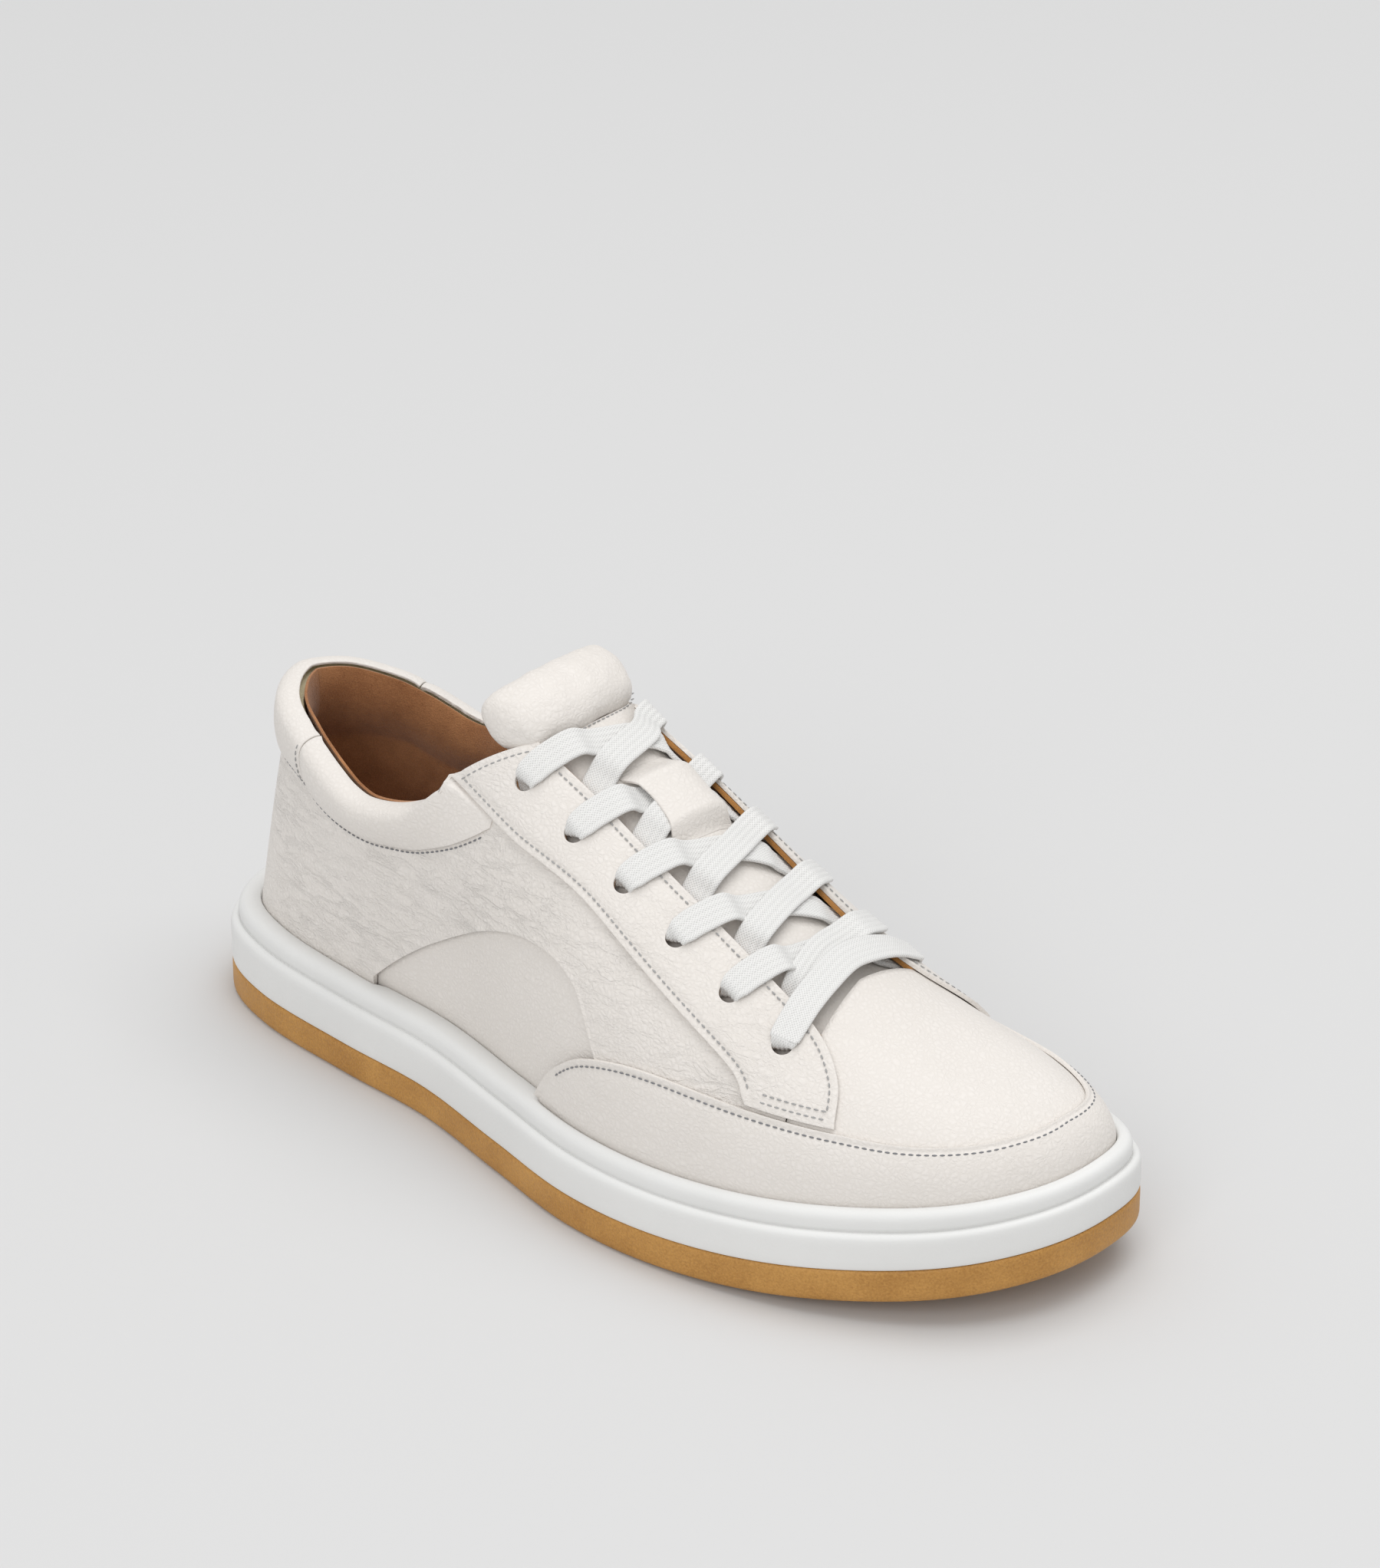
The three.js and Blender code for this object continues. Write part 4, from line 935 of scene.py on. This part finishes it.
def eyestay(u, w):
    t, v = stay_point(u, w)
    run = np.minimum(w * 24, (1 - w) * 24)
    pressed = 0.3 * np.exp(-((run - 2.3) ** 2))
    return t, v, OVERLAY - pressed


def stay_backing(u, w):
    t = lerp(0.19, VAMP_START, u)
    top = np.where(t < 0.208, lerp(0.555, 0.72, (t - 0.19) / 0.018), curve(STAY_INNER[:5], t))
    return t, lerp(stay_edge(t) + UNDERLAP + 0.012, top + 0.004, w), np.full_like(t, 0.25)


def punched(made, inner):
    """Cuts the eyelet holes through a piece, and leaves its edges rounded."""
    drills = bmesh.new()
    for t, v in zip(eyelet_t, eyelet_v):
        t = np.array([side_t(t, inner)])
        v = np.array([v])
        axis = Vector(last_normal(t, v)[0]).to_track_quat("Z", "Y").to_matrix().to_4x4()
        spot = Matrix.Translation(Vector(skin(t, v, 0.0)[0]))
        bmesh.ops.create_cone(drills, cap_ends=True, segments=32, radius1=EYELET_HOLE / 2 * MM,
                              radius2=EYELET_HOLE / 2 * MM, depth=12 * MM, matrix=spot @ axis)
    data = bpy.data.meshes.new("drills")
    drills.to_mesh(data)
    drills.free()
    cutter = bpy.data.objects.new("drills", data)
    bpy.context.scene.collection.objects.link(cutter)
    cut = made.modifiers.new("holes", "BOOLEAN")
    cut.object = cutter
    cut.solver = "EXACT"
    made.modifiers.move(len(made.modifiers) - 1, 1)
    bpy.context.view_layer.update()
    whole = bpy.data.meshes.new_from_object(made.evaluated_get(bpy.context.evaluated_depsgraph_get()))
    made.modifiers.clear()
    made.data = whole
    bpy.data.objects.remove(cutter)


tan = suede_finish("tan_suede", (0.30, 0.125, 0.030), (0.52, 0.25, 0.075))
for side, inner in SIDES:
    punched(piece(f"leather_eyestay_{side}", grid(turned(eyestay, inner), (130, 36)), flap_leather,
                  [f"eyestay_{side}"], wall=LEATHER, edge=0.35), inner)
    punched(piece(f"tan_backing_{side}", grid(turned(stay_backing, inner), (120, 16)), tan,
                  [f"eyestay_lining_{side}"], wall=1.3, edge=0.2), inner)

# ---- lace --------------------------------------------
# A flat woven cotton lace, laced straight over the lowest row and criss-cross above it, through the
# keeper on the tongue. Its two ends are tucked under the flaps at the top row.
LACE_WIDTH = 8
KEEPER_ROW = 1  # the keeper lies between this row and the next
HOLE_WIDTH, HOLE_THICKNESS = 5.8, 1.4  # of the lace where it goes through a hole
PLAIN_LEVELS = (-1.4, 0.2)  # of the two strands where they cross away from the keeper
CROSSING_BOTTOM = TONGUE_TOP + LACE_THICKNESS / 2 + PLY
CROSSING_TOP = CROSSING_BOTTOM + LACE_THICKNESS + 0.3


def spacing(t, v, dt, dv):
    """How many mm of surface there are in one unit of t or v."""
    here = skin(np.array([t - dt, t + dt]), np.array([v - dv, v + dv]), 0.0)
    return np.linalg.norm(here[1] - here[0]) / MM / (2 * (dt + dv))


per_eye_t = spacing(eyelet_t[2], eyelet_v[2], 0.01, 0)
per_c = spacing(eyelet_t[2], eyelet_v[2], 0, 0.1)


def hole_at(row, side):
    return eyelet_t[row], (eyelet_v[row] if side == 0 else 2 - eyelet_v[row]), (1 if side == 0 else -1)


def station(t, c, d, spread):
    return t, c, d, lerp(HOLE_WIDTH, LACE_WIDTH, spread), lerp(HOLE_THICKNESS, LACE_THICKNESS, spread)


def near_hole(hole, lean, rows):
    made = []
    for away, d, spread in rows:
        c = away / per_c
        made.append(station(hole[0] + lean * c, hole[1] + hole[2] * c, d, spread))
    return made


def lean_of(start, end):
    return (end[0] - start[0]) / abs(end[1] - start[1])


# At a hole: mm away from it, height over the last, and how far the lace is spread flat.
INTO = [(3.4, LACE_OVER, 0.85), (1.5, LACE_OVER - 0.1, 0.5), (0.35, LACE_OVER - 0.9, 0.15), (0, 0.15, 0)]
OUT = [(0.35, LACE_UNDER + 0.9, 0), (1.5, LACE_UNDER + 0.1, 0.25), (3.4, LACE_UNDER, 0.8)]
# At a tucked end: mm from the hole to the throat, mm ahead, and height over a strand under the flap.
TUCK = [(-0.35, 0, 0.9), (-1.4, 0.3, 0.1), (-2.8, 1.6, 0), (-3.7, 4, 0), (-4, 7.5, 0)]
RUN = [(0.12, "under"), (0.24, "under"), (0.33, "cross"), (0.5, "cross"), (0.67, "cross"), (0.76, "over"),
       (0.88, "over")]


def lace_half(side):
    """From the bar at the lowest row up to the top row."""
    made = []
    for row in range(EYELET_ROWS - 1, -1, -1):
        here = hole_at(row, side)
        below = hole_at(min(row + 1, EYELET_ROWS - 1), 1 - side)
        made += near_hole(here, -lean_of(below, here), INTO)
        if row == 0:
            made += [station(here[0] + ahead / per_eye_t, here[1] + here[2] * away / per_c,
                             LACE_UNDER + rise, 0) for away, ahead, rise in TUCK]
        else:
            there = hole_at(row - 1, 1 - side)
            kept = (CROSSING_TOP, CROSSING_BOTTOM)[side]
            level = kept if row - 1 == KEEPER_ROW else PLAIN_LEVELS[1 - side]
            heights = {"under": LACE_UNDER, "cross": level, "over": LACE_OVER}
            made += near_hole(here, lean_of(here, there), OUT)
            made += [station(lerp(here[0], there[0], s), lerp(here[1], there[1], s), heights[key], 1)
                     for s, key in RUN]
        side = 1 - side
    return made


bar_t, bar_v = eyelet_t[-1], eyelet_v[-1]
bar = [station(bar_t, 1 + s * (1 - bar_v), LACE_OVER, 1) for s in (-0.6, -0.3, 0, 0.3, 0.6)]
lace_path = np.array(lace_half(0)[::-1] + bar + lace_half(1))
lace_t, lace_c, lace_d, lace_w, lace_h = lace_path.T
centres = instep(lace_t, lace_c, lace_d) / MM
flat_path = instep(lace_t, lace_c, np.zeros_like(lace_d)) / MM
over = lace_c > 1
skew_t = skewed(lace_t, lace_c)
normals = last_normal(np.where(over, 1 - skew_t, skew_t), np.where(over, 2 - lace_c, lace_c))
headings = np.vstack([flat_path[1:], flat_path[-1:]]) - np.vstack([flat_path[:1], flat_path[:-1]])
# Which way is across: level with the leather, and on a dive through a hole as it was before.
DIVE = 0.6  # mm of headway
widths = []
for heading, normal in zip(headings, normals):
    if np.linalg.norm(heading) < DIVE and widths:
        widths.append(widths[-1])
        continue
    wide = unit(np.cross(normal, heading))
    widths.append(-wide if widths and np.dot(wide, widths[-1]) < 0 else wide)
LACE_STEPS = 9  # finer stations between each two
stations = np.hstack([centres, np.array(widths), lace_w[:, None], lace_h[:, None]])
fine = np.array(rounded(stations, LACE_STEPS))
spots, wides, sizes = fine[:, :3], fine[:, 3:6], fine[:, 6:]
tangents = unit(np.gradient(spots, axis=0))
tops = unit(np.cross(tangents, wides))
wides = unit(np.cross(tops, tangents))
run_length = np.concatenate([[0], np.cumsum(np.linalg.norm(np.diff(spots, axis=0), axis=-1))])
RIBS_ACROSS = 5
RIB_HEIGHT = 0.2  # share of half the thickness
LACE_SPREAD = 1.12  # the weave bulges past its nominal width
flat_x, flat_y = np.linspace(0.94, -0.94, 25), np.ones(25)
rim_x, rim_y = np.array([0.985, 1, 0.985]), np.array([0.6, 0, -0.6])
round_x = np.concatenate([flat_x, -rim_x, -flat_x, rim_x])
round_y = np.concatenate([flat_y, rim_y, -flat_y, -rim_y])
SECTION = len(round_x)  # points round the lace
ribbing = 1 + RIB_HEIGHT * np.cos(round_x * np.pi * RIBS_ACROSS) * (np.abs(round_x) < 0.95)


def lace_surface(u, w):
    i = np.rint(u * (len(fine) - 1)).astype(int)
    j = np.rint(w * SECTION).astype(int) % SECTION
    bunch = 1 - sizes[i, 0] / LACE_WIDTH
    x = round_x[j] * sizes[i, 0] * LACE_SPREAD / 2
    y = round_y[j] * ribbing[j] * sizes[i, 1] / 2 + bunch * 1.1 * (round_x[j] ** 2 - 0.4)
    return (spots[i] + wides[i] * x[:, None] + tops[i] * y[:, None]) * MM


lace_mesh = grid(lace_surface, (len(fine) - 1, SECTION), join=1e-7)
bmesh.ops.recalc_face_normals(lace_mesh, faces=lace_mesh.faces)
lace_uv = lace_mesh.loops.layers.uv.active
far_share = run_length / run_length[-1]
for face in lace_mesh.faces:  # U is put in step with the length of the lace
    for loop in face.loops:
        loop[lace_uv].uv.x = far_share[round(loop[lace_uv].uv.x * (len(fine) - 1))]
cotton = Finish("woven_cotton", roughness=0.85, specular_ior_level=0.2, sheen_weight=0.2)
weave_uv = cotton.node("ShaderNodeTexCoord")["UV"]
split = cotton.node("ShaderNodeSeparateXYZ", None, {"Vector": weave_uv})
WEAVE_PITCH = 1.0  # mm along the lace
WEAVE_ROUND = 22  # threads round it
turns = run_length[-1] / WEAVE_PITCH
along_u = split["X"] * (turns * 2 * math.pi)
across_v = split["Y"] * (WEAVE_ROUND * 2 * math.pi)
one_way = (along_u + across_v).math("SINE")
other_way = (along_u - across_v).math("SINE")
plait = one_way.math("MAXIMUM", other_way) * 0.5 + 0.5
lint = cotton.noise(cotton.coordinates(), 2600, 2)
cotton.colour(cotton.blend(cotton.ramp(plait * 0.8 + lint * 0.2, 0.25, 0.85), (0.70, 0.695, 0.68),
                           (0.83, 0.825, 0.81)))
cotton.bump(plait * 0.85 + lint * 0.15, 0.0002, 0.8)
piece("woven_lace", lace_mesh, cotton, ["lace"])

# ---- lace keeper -------------------------------------
# A strip of the tongue's own leather that runs along it. Both its ends lie on the blade, and it is
# lifted over the second crossing of the lace.
keeper_centre = (eyelet_t[KEEPER_ROW] + eyelet_t[KEEPER_ROW + 1]) / 2
KEEPER = {"reach": 13.5, "half_width": 0.108, "thickness": 0.9}
keeper_rise = CROSSING_TOP + LACE_THICKNESS / 2 + PLY + KEEPER["thickness"] * 0.5


def keeper(u, w):
    run = np.abs(2 * u - 1)
    hump = smoothstep(1 - run, 0.0, 0.5)
    flare = 1 + 0.28 * run**2
    c = 1 + lerp(KEEPER["half_width"], -KEEPER["half_width"], 1 - w) * flare
    t = keeper_centre + (2 * u - 1) * KEEPER["reach"] / per_t
    crown = 1.1 * (1 - (2 * w - 1) ** 2) - 0.5
    return instep(t, c, lerp(TONGUE_TOP + 0.12, keeper_rise + crown, hump))


piece("keeper_strip", grid(keeper, (60, 26)), smooth_leather, ["lace_keeper"],
      wall=KEEPER["thickness"], edge=0.25)

# ---- stitches ----------------------------------------
# Bonded thread, a stitch about every two millimetres, pulled a little into the leather. Grey on the
# collar and the toe guard, paler round the eyestays, at the heel tab and along the tongue's roll.
STITCH = {"pitch": 2.1, "length": 1.5, "width": 0.55, "height": 0.4}


def thread_finish(name, dark, light):
    made = Finish(name, roughness=0.7, specular_ior_level=0.3)
    twist = made.noise(made.coordinates(), 3000, 1)
    made.colour(made.blend(twist, dark, light))
    made.bump(twist, 0.0002, 0.6)
    return made


def stitch_size(*sides):
    """Half the measures of a stitch, as a matrix that scales a ball of radius 1."""
    return Matrix.Diagonal([STITCH[side] / 2 * MM for side in sides] + [1])


def stitch(mesh, matrix):
    bmesh.ops.create_uvsphere(mesh, u_segments=6, v_segments=4, radius=1, matrix=matrix)


def stitch_row(mesh, t, v, d, offset=0.0, share=(0.0, 1.0)):
    """Adds stitches along a line on the last, moved sideways by offset mm, over a share of it."""
    line = skin(t, v, d) / MM
    upward = last_normal(t, v)
    tangent = unit(np.gradient(line, axis=0))
    line = line + np.cross(upward, tangent) * offset
    far = np.concatenate([[0], np.cumsum(np.linalg.norm(np.diff(line, axis=0), axis=-1))])
    pitch = STITCH["pitch"]
    marks = np.arange(far[-1] * share[0] + pitch, far[-1] * share[1] - pitch / 2, pitch)
    for mark in marks:
        spot, ahead, high = (Vector([np.interp(mark, far, row) for row in rows.T])
                             for rows in (line, tangent, upward))
        side = high.cross(ahead).normalized()
        high = ahead.cross(side).normalized()
        turn = Matrix((ahead, side, high)).transposed().to_4x4()
        size = stitch_size("length", "width", "height") @ Matrix.Rotation(math.pi / 2, 4, "Y")
        stitch(mesh, Matrix.Translation(spot * MM) @ turn @ size)


thread = thread_finish("grey_thread", (0.15, 0.155, 0.17), (0.28, 0.28, 0.29))
pale_thread = thread_finish("pale_thread", (0.28, 0.28, 0.285), (0.50, 0.495, 0.485))
dense = np.linspace(0, 1, 160)
grey_rows = bmesh.new()
pale_rows = bmesh.new()
for side, inner in SIDES:
    sign = -1 if inner else 1
    t = lerp(0.004, 0.2, dense)
    stitch_row(grey_rows, side_t(t, inner), curve(COLLAR_SEAM, t), 0.12, -1.1 * sign)
    tab_t = np.full(60, TAB_END)
    v, d = collar_profile(tab_t, np.linspace(0, COVER_TURN + 0.1, 60))
    stitch_row(pale_rows, side_t(tab_t, inner), v, d - 0.15, 1.4)
    for w, offset in ((0, 2.1), (1, -2.4)):
        t, v = stay_point(dense, np.full_like(dense, w))
        stitch_row(pale_rows, side_t(t, inner), v, OVERLAY - 0.05, offset * sign, (0.02, 0.98))
    t, v = stay_point(np.zeros_like(dense), dense)
    stitch_row(pale_rows, side_t(t, inner), v, OVERLAY, -2.1 * sign, (0.05, 0.95))
    t, v = stay_point(np.ones_like(dense), dense)
    for offset in (2.0, 4.2):
        stitch_row(pale_rows, side_t(t, inner), v, OVERLAY, offset * sign, (0.1, 0.95))
t = lerp(GUARD_TOP[1][0], 1 - GUARD_TOP[1][0], np.linspace(0, 1, 400))
stitch_row(grey_rows, t, guard_top(t), OVERLAY - 0.2, -2.0)
share = lerp(0.1, 0.95, np.linspace(0, 1, 22))
for spot in roll_point(share, np.zeros_like(share)):
    place = Matrix.Translation(Vector(spot) + Vector(roll_along * 0.6 * MM) + Vector(roll_up * 0.3 * MM))
    stitch(pale_rows, place @ stitch_size("width", "length", "height"))
piece("grey_stitches", grey_rows, thread)
piece("pale_stitches", pale_rows, pale_thread)
